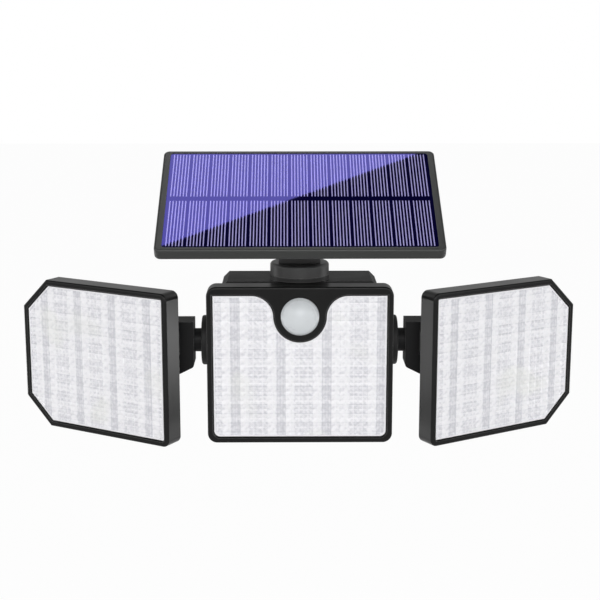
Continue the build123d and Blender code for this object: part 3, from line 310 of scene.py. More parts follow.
class StageSettings(bpy.types.PropertyGroup):
    """Camera, lamps and floor."""

    focal_length: FloatProperty(
        name="Focal length", description="Camera lens on a 36 mm sensor",
        min=20, max=300, default=78.0,
    )
    camera_distance: FloatProperty(
        name="Distance", description="Camera in front of the wall",
        unit="LENGTH", min=0.2, max=5, default=0.9167,
    )
    camera_height: FloatProperty(
        name="Height", description="Camera above the middle of the case",
        unit="LENGTH", min=-2, max=2, default=0.2152,
    )
    camera_shift: FloatProperty(
        name="Sideways", description="Camera beside the middle of the case",
        unit="LENGTH", min=-1, max=1, default=-8 * MM,
    )
    camera_turn: FloatProperty(
        name="Turn", description="How far the camera is turned to the viewer's right",
        unit="ROTATION", min=-1.5, max=1.5, default=math.radians(0.55),
    )
    camera_pitch: FloatProperty(
        name="Downward tilt", description="How far the camera looks down",
        unit="ROTATION", min=0, max=1.5, default=math.radians(11.6),
    )
    floor_drop: FloatProperty(
        name="Floor", description="Floor below the lowest edge of the heads",
        unit="LENGTH", min=0, max=2, default=0.30,
    )
    world_light: FloatProperty(
        name="Room light", description="Strength of the even light from all round",
        min=0, max=2, default=0.5,
    )
    roof_height: FloatProperty(
        name="Roof lamp height", description="Height of the soft lamp over the panel",
        unit="LENGTH", min=0.5, max=5, default=1.3,
    )
    roof_power: FloatProperty(
        name="Roof lamp", description="Power of the soft lamp over the panel",
        unit="POWER", min=0, max=500, default=1.4,
    )
    side_power: FloatProperty(
        name="Side lamps", description="Power of each of the two side lamps",
        unit="POWER", min=0, max=500, default=3.6,
    )
    front_power: FloatProperty(
        name="Front lamp", description="Power of the soft lamp near the camera",
        unit="POWER", min=0, max=500, default=8.3,
    )
    rim_power: FloatProperty(
        name="Rim lamps", description="Power of each of the two lamps behind the light",
        unit="POWER", min=0, max=500, default=0.3,
    )


# ---- shader helpers ----
class Shade:
    """Builds one node tree, with short calls for the nodes that repeat."""

    def __init__(self, tree):
        self.tree = tree
        tree.nodes.clear()

    def node(self, kind, **values):
        made = self.tree.nodes.new(kind)
        for name, value in values.items():
            setattr(made, name, value)
        return made

    def link(self, source, target):
        self.tree.links.new(source, target)

    def feed(self, target, value):
        """Links a socket, or sets a plain value."""
        if isinstance(value, bpy.types.NodeSocket):
            self.link(value, target)
        else:
            target.default_value = value

    def math(self, operation, *values):
        made = self.node("ShaderNodeMath", operation=operation)
        for target, value in zip(made.inputs, values):
            self.feed(target, value)
        return made.outputs[0]

    def vector_math(self, operation, first, second):
        made = self.node("ShaderNodeVectorMath", operation=operation)
        self.feed(made.inputs[0], first)
        self.feed(made.inputs[1], second)
        return made.outputs

    def vector(self, operation, first, second):
        return self.vector_math(operation, first, second)["Vector"]

    def dot(self, first, second):
        return self.vector_math("DOT_PRODUCT", first, second)["Value"]

    def mix(self, factor, first, second):
        made = self.node("ShaderNodeMix", data_type="RGBA")
        self.feed(made.inputs["Factor"], factor)
        self.feed(made.inputs[6], first)
        self.feed(made.inputs[7], second)
        return made.outputs[2]

    def ramp(self, value, low, high, out_low=0.0, out_high=1.0):
        made = self.node("ShaderNodeMapRange")
        for name, number in (
            ("From Min", low), ("From Max", high), ("To Min", out_low), ("To Max", out_high),
        ):
            made.inputs[name].default_value = number
        self.feed(made.inputs["Value"], value)
        return made.outputs["Result"]

    def noise(self, vector, scale, detail=2.0):
        made = self.node("ShaderNodeTexNoise")
        self.feed(made.inputs["Vector"], vector)
        self.feed(made.inputs["Scale"], scale)
        made.inputs["Detail"].default_value = detail
        return made.outputs["Fac"]

    def fill(self, node, **values):
        """Feeds a node's sockets, named with _ for a space."""
        for name, value in values.items():
            self.feed(node.inputs[name.replace("_", " ")], value)

    def group(self, tree, **values):
        made = self.node("ShaderNodeGroup")
        made.node_tree = tree
        self.fill(made, **values)
        return made.outputs


def rgba(colour):
    """A colour with its fourth channel."""
    return (*colour, 1.0)


def new_group(name, inputs, outputs):
    """An empty node group with named sockets."""
    tree = bpy.data.node_groups.new(name, "ShaderNodeTree")
    for socket_name, kind, default in inputs:
        socket = tree.interface.new_socket(socket_name, in_out="INPUT", socket_type=kind)
        if default is not None:
            socket.default_value = default
    for socket_name, kind in outputs:
        tree.interface.new_socket(socket_name, in_out="OUTPUT", socket_type=kind)
    shade = Shade(tree)
    entry = shade.node("NodeGroupInput")
    leave = shade.node("NodeGroupOutput")
    return tree, shade, entry.outputs, leave.inputs


FLOAT = "NodeSocketFloat"
VECTOR = "NodeSocketVector"


def grain_group():
    """Spark-eroded grain of moulded plastic: a fine height and a broad mottle."""
    found = bpy.data.node_groups.get("Moulded Grain")
    if found:
        return found
    tree, shade, given, result = new_group(
        "Moulded Grain",
        [
            ("Position", VECTOR, None),
            ("Grain Size", FLOAT, 0.4 * MM),
            ("Mottle Size", FLOAT, 30 * MM),
        ],
        [("Height", FLOAT), ("Mottle", FLOAT)],
    )
    for size, detail, target in (
        (given["Grain Size"], 3.0, result["Height"]),
        (given["Mottle Size"], 2.0, result["Mottle"]),
    ):
        scale = shade.math("DIVIDE", 1.0, size)
        shade.link(shade.noise(given["Position"], scale, detail), target)
    return tree


def edge_wear_and_highlight_group():
    """Mask of rubbed outside edges, which also carry a painted highlight, broken up by noise."""
    found = bpy.data.node_groups.get("Edge Wear")
    if found:
        return found
    tree, shade, given, result = new_group(
        "Edge Wear",
        [("Position", VECTOR, None), ("Width", FLOAT, 0.4 * MM), ("Breakup", FLOAT, 0.5)],
        [("Mask", FLOAT)],
    )
    bevel = shade.node("ShaderNodeBevel", samples=4)
    shade.link(given["Width"], bevel.inputs["Radius"])
    geometry = shade.node("ShaderNodeNewGeometry")
    turn = shade.dot(bevel.outputs["Normal"], geometry.outputs["Normal"])
    bend = shade.ramp(turn, 0.999, 0.95)
    rubbed = shade.noise(given["Position"], scale=180.0, detail=4.0)
    broken = shade.math("SUBTRACT", 1.0, shade.math("MULTIPLY", rubbed, given["Breakup"]))
    shade.link(shade.math("MULTIPLY", bend, broken), result["Mask"])
    return tree


def rib_group():
    """Moulded lens squares: what their facets and fine ribs do to height, and the painted shade
    that stands in for how they turn light.
    """
    found = bpy.data.node_groups.get("Lens Squares")
    if found:
        return found
    tree, shade, given, result = new_group(
        "Lens Squares",
        [
            ("Across", FLOAT, 0.0),
            ("Up", FLOAT, 0.0),
            ("Kind", FLOAT, 0.0),
            ("Column", FLOAT, 6 * MM),
            ("Row", FLOAT, 6 * MM),
            ("Rib", FLOAT, 1 * MM),
        ],
        [("Height", FLOAT), ("Shade", FLOAT)],
    )
    across, up, kind = given["Across"], given["Up"], given["Kind"]
    column, row, rib = given["Column"], given["Row"], given["Rib"]

    def times(first, second):
        return shade.math("MULTIPLY", first, second)

    def total(*values):
        result_so_far = values[0]
        for value in values[1:]:
            result_so_far = shade.math("ADD", result_so_far, value)
        return result_so_far

    def ridges(value, pitch):
        """A wave from 0 to 1 and back over one pitch."""
        return times(shade.math("PINGPONG", shade.math("DIVIDE", value, pitch), 0.5), 2.0)

    def slant(way, pitch):
        return ridges(total(across, times(up, way)), pitch)

    def crossed(pitch):
        """Ribs on the slant, those that rise one way less those that rise the other."""
        return shade.math("ABSOLUTE", shade.math("SUBTRACT", slant(1.0, pitch), slant(-1.0, pitch)))

    def seam(value, pitch, width):
        """Full on the line between two squares, none past the width."""
        away = shade.math("PINGPONG", value, times(pitch, 0.5))
        return shade.ramp(away, 0.0, width, 1.0, 0.0)

    is_upright = shade.math("GREATER_THAN", kind, 0.75)
    is_level = shade.math("LESS_THAN", kind, 0.25)
    is_crossed = shade.math("SUBTRACT", 1.0, total(is_upright, is_level))
    # coarse crossed ribs with finer ones between them
    crossing = total(times(crossed(column), 0.7), times(crossed(times(column, 0.5)), 0.3))
    streak = times(slant(-1.0, column), ridges(up, row))
    upright = ridges(across, times(rib, 2.0))
    # every second row is lighter in the painted shade
    odd_row = shade.math("FLOORED_MODULO", shade.math("FLOOR", shade.math("DIVIDE", up, row)), 2.0)
    level_seam = seam(up, row, 0.8 * MM)
    upright_seam = seam(across, column, 0.55 * MM)
    height = total(
        times(is_upright, upright), times(is_crossed, crossing), times(is_level, streak),
    )
    seams = shade.math("MAXIMUM", level_seam, upright_seam)
    shade.link(shade.math("SUBTRACT", height, seams), result["Height"])
    # painted shade of the squares: each kind of rib, the seams and every second row get their own
    # tone, standing in for how they turn light
    tone = total(
        times(is_upright, total(times(upright, 0.3), 0.62)),
        times(is_crossed, total(times(crossing, 0.8), 0.12)),
        times(is_level, total(times(streak, 0.6), -0.1)),
        times(level_seam, 0.5),
        times(upright_seam, 0.35),
        times(odd_row, -0.22),
    )
    shade.link(tone, result["Shade"])
    return tree


def new_material(name):
    """A material with its surface shader and the position that its textures follow."""
    material = bpy.data.materials.new(name)
    material.use_nodes = True
    shade = Shade(material.node_tree)
    surface = shade.node("ShaderNodeBsdfPrincipled")
    output = shade.node("ShaderNodeOutputMaterial")
    shade.link(surface.outputs["BSDF"], output.inputs["Surface"])
    position = shade.node("ShaderNodeTexCoord").outputs["Object"]
    return material, shade, surface, position


def bump(shade, height, distance, strength=1.0):
    """A bump node's normal."""
    made = shade.node("ShaderNodeBump")
    made.inputs["Strength"].default_value = strength
    made.inputs["Distance"].default_value = distance
    shade.link(height, made.inputs["Height"])
    return made.outputs["Normal"]


def dress(material, *names):
    """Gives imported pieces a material."""
    for name in names:
        mesh = nodes[name].data
        mesh.materials.clear()
        mesh.materials.append(material)


def lying_like(shade, outward, low, high):
    """Mask of faces by the cosine of their normal to a direction: 0 at low, 1 at high."""
    normal = shade.node("ShaderNodeTexCoord").outputs["Normal"]
    return shade.ramp(shade.math("ABSOLUTE", shade.dot(normal, outward)), low, high)


# ---- materials ----
def mottled(shade, mottle, colour, darkest, lightest):
    """A colour that a mottle mask darkens and lightens by two factors."""
    colour = tuple(colour)
    return shade.mix(
        mottle, rgba(c * darkest for c in colour), rgba(c * lightest for c in colour),
    )


def plastic_material(name, colour, roughness, grain_form, level, wear, polish=None):
    """Moulded plastic with spark grain, slight mottle and lighter edges, partly rubbed and partly a
    painted highlight.

    grain_form is the grain's size and depth. polish holds a direction, two cosines
    and a strength, for the faces that left the mould smoother.
    """
    grain_size, grain_depth = grain_form
    material, shade, surface, position = new_material(name)
    grain = shade.group(grain_group(), Position=position, Grain_Size=grain_size)
    edges = shade.group(edge_wear_and_highlight_group(), Position=position, Width=wear)
    broad = mottled(shade, grain["Mottle"], colour, 0.85, 1.2)
    shade.fill(
        surface,
        # edges painted lighter: partly rubbed, partly a painted highlight along them
        Base_Color=shade.mix(edges["Mask"], broad, rgba(c * 2.5 + 0.1 for c in colour)),
        Roughness=shade.ramp(grain["Mottle"], 0.3, 0.7, roughness - 0.04, roughness + 0.05),
        Normal=bump(shade, grain["Height"], grain_depth),
        Specular_IOR_Level=level,
    )
    if polish:
        outward, low, high, strength = polish
        coat = shade.math("MULTIPLY", lying_like(shade, outward, low, high), strength)
        shade.fill(surface, Coat_Weight=coat, Coat_Roughness=roughness - 0.05)
    return material


def lens_material(name, lens, board, bands, column, finish, detail):
    """White lens plastic in squares with painted shade where its ribs would turn light away; bands
    holds a letter for each moulded column.
    """
    material, shade, surface, position = new_material(name)
    middle, across, up, outward = face_plane(board)
    width, height = spans(lens, middle, across, up)
    corner = middle - across * (width / 2) - up * (height / 2 - LENS_FOOT)
    moved = shade.vector("SUBTRACT", position, corner)
    along = shade.dot(moved, across)
    level = shade.dot(moved, up)
    place = shade.ramp(along, 0.0, len(bands) * column)
    ramp = shade.node("ShaderNodeValToRGB")
    ramp.color_ramp.interpolation = "CONSTANT"
    stops = ramp.color_ramp.elements
    while len(stops) > 1:
        stops.remove(stops[-1])
    kinds = {"L": 0.0, "H": 0.5, "D": 1.0}
    last = None
    for index, letter in enumerate(bands):
        kind = kinds[letter]
        if kind == last:
            continue
        stop = stops[0] if index == 0 else stops.new(index / len(bands))
        stop.color = (kind, kind, kind, 1.0)
        last = kind
    shade.link(place, ramp.inputs["Fac"])
    squares = shade.group(
        rib_group(), Across=along, Up=level, Kind=ramp.outputs["Color"],
        Column=column, Row=detail.row, Rib=detail.rib,
    )
    speckle = shade.noise(position, scale=480.0)
    tone = shade.math("ADD", squares["Shade"], shade.ramp(speckle, 0.35, 0.65, -0.26, 0.26))
    # the squares' painted shade, broken up by a random speckle
    colour = shade.mix(tone, rgba(finish.lens_colour), rgba(finish.lens_painted_shade))
    warm = shade.ramp(shade.noise(position, scale=28.0, detail=1.0), 0.62, 0.72, 0.0, 0.4)
    tinted = shade.mix(warm, colour, rgba(finish.lens_tint))
    rim = lying_like(shade, outward, low=0.975, high=0.99)
    ribbed = shade.math("MULTIPLY", squares["Height"], shade.math("SUBTRACT", 1.0, rim))
    shade.fill(
        surface,
        Base_Color=shade.mix(rim, tinted, rgba(finish.lens_colour)),
        Roughness=shade.ramp(squares["Shade"], 0.0, 1.0, 0.3, 0.42),
        Normal=bump(shade, ribbed, distance=0.1 * MM, strength=0.45),
        Specular_IOR_Level=0.35,
        Subsurface_Weight=0.25,
        Subsurface_Radius=(1.0, 1.0, 1.0),
        Subsurface_Scale=1.2 * MM,
    )
    return material


def sensor_material(finish):
    """Milky polyethylene dome with a faint ring near its foot."""
    material, shade, surface, position = new_material("sensor_lens_plastic")
    low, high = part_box("sensor_dome")
    centre = (low + high) / 2
    moved = shade.vector("SUBTRACT", position, (centre.x, 0, centre.z))
    flat = shade.vector("MULTIPLY", moved, (1, 0, 1))
    radius = shade.math("SQRT", shade.dot(flat, flat))
    ring_radius = (high.x - low.x) / 2 * 0.79
    off_ring = shade.math("ABSOLUTE", shade.math("SUBTRACT", radius, ring_radius))
    ring = shade.ramp(off_ring, 0.0, 0.5 * MM, 1.0, 0.0)
    cloud = shade.noise(position, scale=120.0)
    veil = shade.ramp(cloud, 0.35, 0.65, 0.0, 0.25)
    tone = shade.math("ADD", shade.math("MULTIPLY", ring, 0.5), veil)
    shade.fill(
        surface,
        Base_Color=mottled(shade, tone, finish.sensor_colour, 1.0, 1.12),
        Roughness=shade.ramp(cloud, 0.3, 0.7, 0.26, 0.34),
        Normal=bump(shade, ring, 0.15 * MM),
        Subsurface_Weight=0.4,
        Subsurface_Radius=(1.0, 1.0, 1.0),
        Subsurface_Scale=2 * MM,
    )
    return material


def laminate_material(name, colour, finish, variation):
    """A surface under the panel's clear resin: its own colour with a violet gloss over it."""
    material, shade, surface, position = new_material(name)
    cloud = shade.noise(position, scale=60.0, detail=4.0)
    shade.fill(
        surface,
        Base_Color=mottled(shade, cloud, colour, 1 - variation, 1 + variation),
        Roughness=shade.ramp(cloud, 0.3, 0.7, 0.012, 0.02),
        IOR=2.0,
        Specular_Tint=rgba(finish.coat_tint),
    )
    return material


def metal_material(finish):
    """Zinc-plated steel with a fine grain."""
    material, shade, surface, position = new_material("plated_steel")
    grain = shade.group(
        grain_group(), Position=position, Grain_Size=0.25 * MM, Mottle_Size=3 * MM,
    )
    shade.fill(
        surface,
        Base_Color=mottled(shade, grain["Mottle"], finish.steel_colour, 0.75, 1.1),
        Roughness=shade.ramp(grain["Mottle"], 0.3, 0.7, 0.28, 0.42),
        Normal=bump(shade, grain["Height"], 0.02 * MM),
        Metallic=1.0,
    )
    return material


def plain_material(name, colour, roughness, spread, grain_size, grain_depth):
    """Board, chip, sleeve or rubber: one colour broken up by grain and mottle."""
    material, shade, surface, position = new_material(name)
    grain = shade.group(
        grain_group(), Position=position, Grain_Size=grain_size, Mottle_Size=8 * MM,
    )
    shade.fill(
        surface,
        Base_Color=mottled(shade, grain["Mottle"], colour, 1 - spread, 1 + spread),
        Roughness=shade.ramp(grain["Mottle"], 0.3, 0.7, roughness - 0.05, roughness + 0.05),
        Normal=bump(shade, grain["Height"], grain_depth),
    )
    return material


# ---- meshes ----
def mesh_from(name, work):
    """Turns a bmesh into a mesh and frees it."""
    mesh = bpy.data.meshes.new(name)
    work.to_mesh(mesh)
    work.free()
    return mesh


def linked(name, data):
    """A new object with this data, in the scene."""
    made = bpy.data.objects.new(name, data)
    bpy.context.scene.collection.objects.link(made)
    return made


def mesh_object(name, work, material, body):
    """Turns a bmesh into a piece that rides on a body and fills a slot."""
    bmesh.ops.recalc_face_normals(work, faces=work.faces)
    mesh = mesh_from(name, work)
    mesh.materials.append(material)
    piece = linked(name, mesh)
    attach(piece, body)
    return piece


def turned(work, profile, segments):
    """Adds a turned solid to a bmesh.

    profile lists (radius, height) from foot to tip and meets the axis at both ends.
    """
    rings = []
    for radius, height in profile:
        if radius == 0:
            rings.append([work.verts.new((0, 0, height))])
            continue
        rings.append([
            work.verts.new((
                radius * math.cos(2 * math.pi * step / segments),
                radius * math.sin(2 * math.pi * step / segments),
                height,
            ))
            for step in range(segments)
        ])
    for lower, upper in zip(rings, rings[1:]):
        for step in range(segments):
            after = (step + 1) % segments
            if len(lower) == 1:
                work.faces.new((lower[0], upper[after], upper[step]))
            elif len(upper) == 1:
                work.faces.new((lower[step], lower[after], upper[0]))
            else:
                work.faces.new((lower[step], lower[after], upper[after], upper[step]))


def cross_recess(work, width, thickness, depth, top):
    """Adds a cross that narrows downwards, the shape that a cross-point driver leaves."""
    half, arm = width / 2, thickness / 2
    corners = [
        (half, -arm), (half, arm), (arm, arm), (arm, half), (-arm, half), (-arm, arm),
        (-half, arm), (-half, -arm), (-arm, -arm), (-arm, -half), (arm, -half), (arm, -arm),
    ]
    upper = [work.verts.new((x, y, top + depth)) for x, y in corners]
    lower = [work.verts.new((x * 0.55, y * 0.7, top - depth)) for x, y in corners]
    work.faces.new(upper)
    work.faces.new(list(reversed(lower)))
    for step in range(len(corners)):
        after = (step + 1) % len(corners)
        work.faces.new((lower[step], lower[after], upper[after], upper[step]))


def cut_mesh(solid, tool):
    """The first bmesh less the second, as a new bmesh."""
    objects = []
    for work in (solid, tool):
        bmesh.ops.recalc_face_normals(work, faces=work.faces)
        objects.append(linked("cutting", mesh_from("cutting", work)))
    body, cutter = objects
    modifier = body.modifiers.new("cut", "BOOLEAN")
    modifier.operation = "DIFFERENCE"
    modifier.solver = "EXACT"
    modifier.object = cutter
    graph = bpy.context.evaluated_depsgraph_get()
    result = bmesh.new()
    result.from_object(body, graph)
    for made in objects:
        mesh = made.data
        bpy.data.objects.remove(made)
        bpy.data.meshes.remove(mesh)
    return result


def pan_head_screw(shank, head, height, grip):
    """One pan-head screw on the z axis, its head's underside at zero, with thread ridges."""
    root, crest, rim = shank * 0.42, shank * 0.5, head * 0.5
    profile = [(0, -grip), (shank * 0.3, -grip)]
    turns = int(grip / SCREW_PITCH)
    pitch = grip / turns
    for turn in range(turns):
        foot = -grip + (turn + 0.25) * pitch
        profile += [(root, foot), (crest, foot + 0.35 * pitch), (root, foot + 0.6 * pitch)]
    # the head's straight side, then its rounded shoulder
    profile += [(root, 0), (rim, 0), (rim, height * 0.35)]
    for step in range(1, DOME_STEPS + 1):
        angle = step / DOME_STEPS * math.pi / 2
        profile.append((
            head * (0.5 - 0.18 * (1 - math.cos(angle))),
            height * (0.35 + 0.65 * math.sin(angle)),
        ))
    profile.append((0, height))
    solid = bmesh.new()
    turned(solid, profile, SCREW_SEGMENTS)
    tool = bmesh.new()
    cross_recess(tool, head * 0.62, head * 0.15, height * 0.55, height)
    return cut_mesh(solid, tool)


def axis_frame(point, axis):
    """Matrix that puts the z axis of a part along axis at a point."""
    rotation = Vector((0, 0, 1)).rotation_difference(axis).to_matrix().to_4x4()
    return Matrix.Translation(point) @ rotation


# ---- operators ----
class DressOperator:
    """What the operators share."""

    bl_options = {"REGISTER"}

    def settings(self, context):
        scene = context.scene
        return scene.light_finish, scene.light_detail, scene.light_stage


class LIGHT_OT_housings(DressOperator, bpy.types.Operator):
    """Give the moulded black pieces their plastic, and seals and button their rubber"""

    bl_idname = "light.housings"
    bl_label = "Housings"

    def execute(self, context):
        finish, detail, _ = self.settings(context)
        gloss, wear = finish.housing_roughness, detail.edge_wear_and_highlight
        satin = (
            "satin_black_plastic", finish.housing_colour, gloss, SATIN_GRAIN, 0.24, wear,
        )
        dress(plastic_material(*satin), "centre_bezel")
        for side in ("left", "right"):
            walls = (face_plane(side + "_led_board")[3], *WALL_COAT)
            dress(plastic_material(*satin, walls), side + "_bezel")
        grained = plastic_material(
            "grained_black_plastic", finish.shell_colour, gloss + 0.2, SHELL_GRAIN, 0.22, wear,
        )
        case = plastic_material(
            "case_plastic", finish.case_colour, gloss + 0.2, SHELL_GRAIN, 0.3, wear,
        )
        dress(case, "battery_case")
        # black plastic painted lighter, as a painted highlight on the collar and knuckle
        swivel = plastic_material(
            "swivel_plastic", finish.swivel_colour_and_highlight, gloss + 0.06, SWIVEL_GRAIN, 0.6, wear,
        )
        dress(swivel, "swivel_base")
        rim = (face_plane("solar_cover")[3], *RIM_COAT)
        panel = plastic_material(
            "panel_frame_plastic", finish.frame_colour, gloss + 0.14, SATIN_GRAIN, 0.7, wear, rim,
        )
        dress(panel, "panel_frame")
        dress(
            grained, "centre_housing", "back_cover", "wall_bracket",
            "left_rear_shell", "right_rear_shell", "left_arm", "right_arm", "panel_bracket",
        )
        rubber = plain_material("black_rubber", finish.rubber_colour, *RUBBER)
        dress(
            rubber, "centre_gasket", "left_gasket", "right_gasket", "cover_gasket",
            "left_arm_seal", "right_arm_seal", "power_button",
        )
        return {"FINISHED"}


class LIGHT_OT_lenses(DressOperator, bpy.types.Operator):
    """Give the three lamp lenses their ribbed white plastic"""

    bl_idname = "light.lenses"
    bl_label = "Lamp lenses"

    def execute(self, context):
        finish, detail, _ = self.settings(context)
        for side, bands, column in (
            ("centre", CENTRE_BANDS, detail.column),
            ("left", SIDE_BANDS, detail.side_column),
            ("right", SIDE_BANDS, detail.side_column),
        ):
            lens, board = side + "_lens", side + "_led_board"
            plastic = lens_material(
                lens + "_plastic", lens, board, bands, column, finish, detail,
            )
            dress(plastic, lens)
        return {"FINISHED"}


class LIGHT_OT_sensor(DressOperator, bpy.types.Operator):
    """Give the sensor's dome its milky plastic"""

    bl_idname = "light.sensor"
    bl_label = "Motion sensor"

    def execute(self, context):
        finish, _, _ = self.settings(context)
        dress(sensor_material(finish), "sensor_dome")
        return {"FINISHED"}


class LIGHT_OT_solar_face(DressOperator, bpy.types.Operator):
    """Build the panel's laminated face with its cells and printed contact lines"""

    bl_idname = "light.solar_face"
    bl_label = "Solar face"

    def execute(self, context):
        finish, detail, _ = self.settings(context)
        middle, across, up, outward = face_plane("solar_cover")
        width, height = spans("solar_cover", middle, across, up)
        body = body_of_node("solar_cover")
        base = laminate_material("dark_laminate", finish.cell_colour, finish, 0.15)
        silver = laminate_material("printed_silver", finish.finger_colour, finish, 0.12)
        dress(base, "solar_board", "solar_cells", "solar_cover")
        pitch = (width - 2 * PANEL_MARGIN) / detail.columns
        row_height = (height - 2 * PANEL_MARGIN - detail.bus_gap) / 2
        line = detail.finger_width / 2
        work = bmesh.new()
        for row in (-1, 1):
            row_middle = row * (row_height + detail.bus_gap) / 2
            for column in range(detail.columns):
                cell_middle = (column - (detail.columns - 1) / 2) * pitch
                for finger in range(detail.fingers):
                    x = cell_middle + (finger - (detail.fingers - 1) / 2) * detail.finger_pitch
                    corners = [
                        middle + across * (x + dx) + up * (row_middle + dy) + outward * lift
                        for lift in (-LINE_RISE, LINE_RISE)
                        for dx, dy in (
                            (-line, -row_height / 2), (line, -row_height / 2),
                            (line, row_height / 2), (-line, row_height / 2),
                        )
                    ]
                    verts = [work.verts.new(corner) for corner in corners]
                    for a, b, c, d in (
                        (0, 3, 2, 1), (4, 5, 6, 7), (0, 1, 5, 4),
                        (1, 2, 6, 5), (2, 3, 7, 6), (3, 0, 4, 7),
                    ):
                        work.faces.new((verts[a], verts[b], verts[c], verts[d]))
        mesh_object("contact_lines", work, silver, body)
        return {"FINISHED"}


class LIGHT_OT_fasteners(DressOperator, bpy.types.Operator):
    """Put cross-recessed screws in place of the plain ones and plate bolts, nuts and washers"""

    bl_idname = "light.fasteners"
    bl_label = "Fasteners"

    def execute(self, context):
        finish, _, _ = self.settings(context)
        steel = metal_material(finish)
        for name in (
            "centre_screws", "cover_screws", "left_shell_screws", "right_shell_screws",
            "bracket_screws", "lock_screws", "neck_screws",
        ):
            self.replace_screws(name, steel)
        dress(
            steel, "left_arm_washer", "left_arm_screw", "left_hinge_bolt", "left_hinge_nut",
            "right_arm_washer", "right_arm_screw", "right_hinge_bolt", "right_hinge_nut",
            "swivel_washer", "swivel_screw", "panel_bolt", "panel_nut", "sensor_can",
        )
        return {"FINISHED"}

    def replace_screws(self, name, steel):
        """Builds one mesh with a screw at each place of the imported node."""
        parts = loose_parts(name)
        if not parts:
            raise RuntimeError(f"{name} has no screws to replace")
        axis, foot, head_height, shank, head, tip = self.measure(parts[0])
        single = pan_head_screw(shank, head, head_height, foot - tip)
        mesh = mesh_from("one_screw", single)
        work = bmesh.new()
        for index, part in enumerate(parts):
            _, foot, _, _, _, _ = self.measure(part, axis)
            centre = sum(part, Vector()) / len(part)
            point = centre + axis * (foot - centre.dot(axis))
            # every screw stopped at another angle
            turn = Matrix.Rotation(0.7 * index + 0.3, 4, "Z")
            before = len(work.verts)
            work.from_mesh(mesh)
            work.verts.ensure_lookup_table()
            place = axis_frame(point, axis) @ turn
            bmesh.ops.transform(work, matrix=place, verts=work.verts[before:])
        bpy.data.meshes.remove(mesh)
        piece = mesh_object(name + "_cross", work, steel, body_of_node(name))
        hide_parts(name)

    def measure(self, part, axis=None):
        """Axis out of the head, then along it: underside of the head, head's height,
        shank's and head's diameters, and the tip.
        """
        if axis is None:
            guesses = [Vector((0, 1, 0)), Vector((0, 0, -1))]
            for plate in ("left_led_board", "right_led_board", "solar_cover"):
                guesses.append(-face_plane(plate)[3])
            axis = min(guesses, key=lambda guess: self.spread(part, guess))
        reach = [point.dot(axis) for point in part]
        tip, top = min(reach), max(reach)
        centre = sum(part, Vector()) / len(part)

        def radius(point):
            flat = point - centre
            return (flat - axis * flat.dot(axis)).length

        head = max(radius(point) for point in part)
        foot = min(point.dot(axis) for point in part if radius(point) > head * 0.97)
        shank = max(radius(point) for point in part if point.dot(axis) < foot - 0.1 * MM)
        return axis, foot, top - foot, shank * 2, head * 2, tip

    def spread(self, part, axis):
        """How wide a screw looks along an axis; least along its own."""
        centre = sum(part, Vector()) / len(part)
        widest = 0.0
        for point in part:
            flat = point - centre
            widest = max(widest, (flat - axis * flat.dot(axis)).length)
        return widest


class LIGHT_OT_inner_parts(DressOperator, bpy.types.Operator):
    """Give boards, lamps and batteries their finishes"""

    bl_idname = "light.inner_parts"
    bl_label = "Inner parts"

    def execute(self, context):
        finish, _, _ = self.settings(context)
        board = plain_material("white_board", finish.board_colour, *BOARD)
        dress(
            board, "centre_led_board", "left_led_board", "right_led_board",
            "sensor_board", "control_board", "switch_board",
        )
        chip = plain_material("lamp_chip", CHIP_COLOUR, *CHIP)
        dress(chip, "centre_leds", "left_leds", "right_leds")
        sleeve = plain_material("battery_sleeve_film", SLEEVE_COLOUR, *SLEEVE)
        dress(sleeve, "batteries")
        return {"FINISHED"}


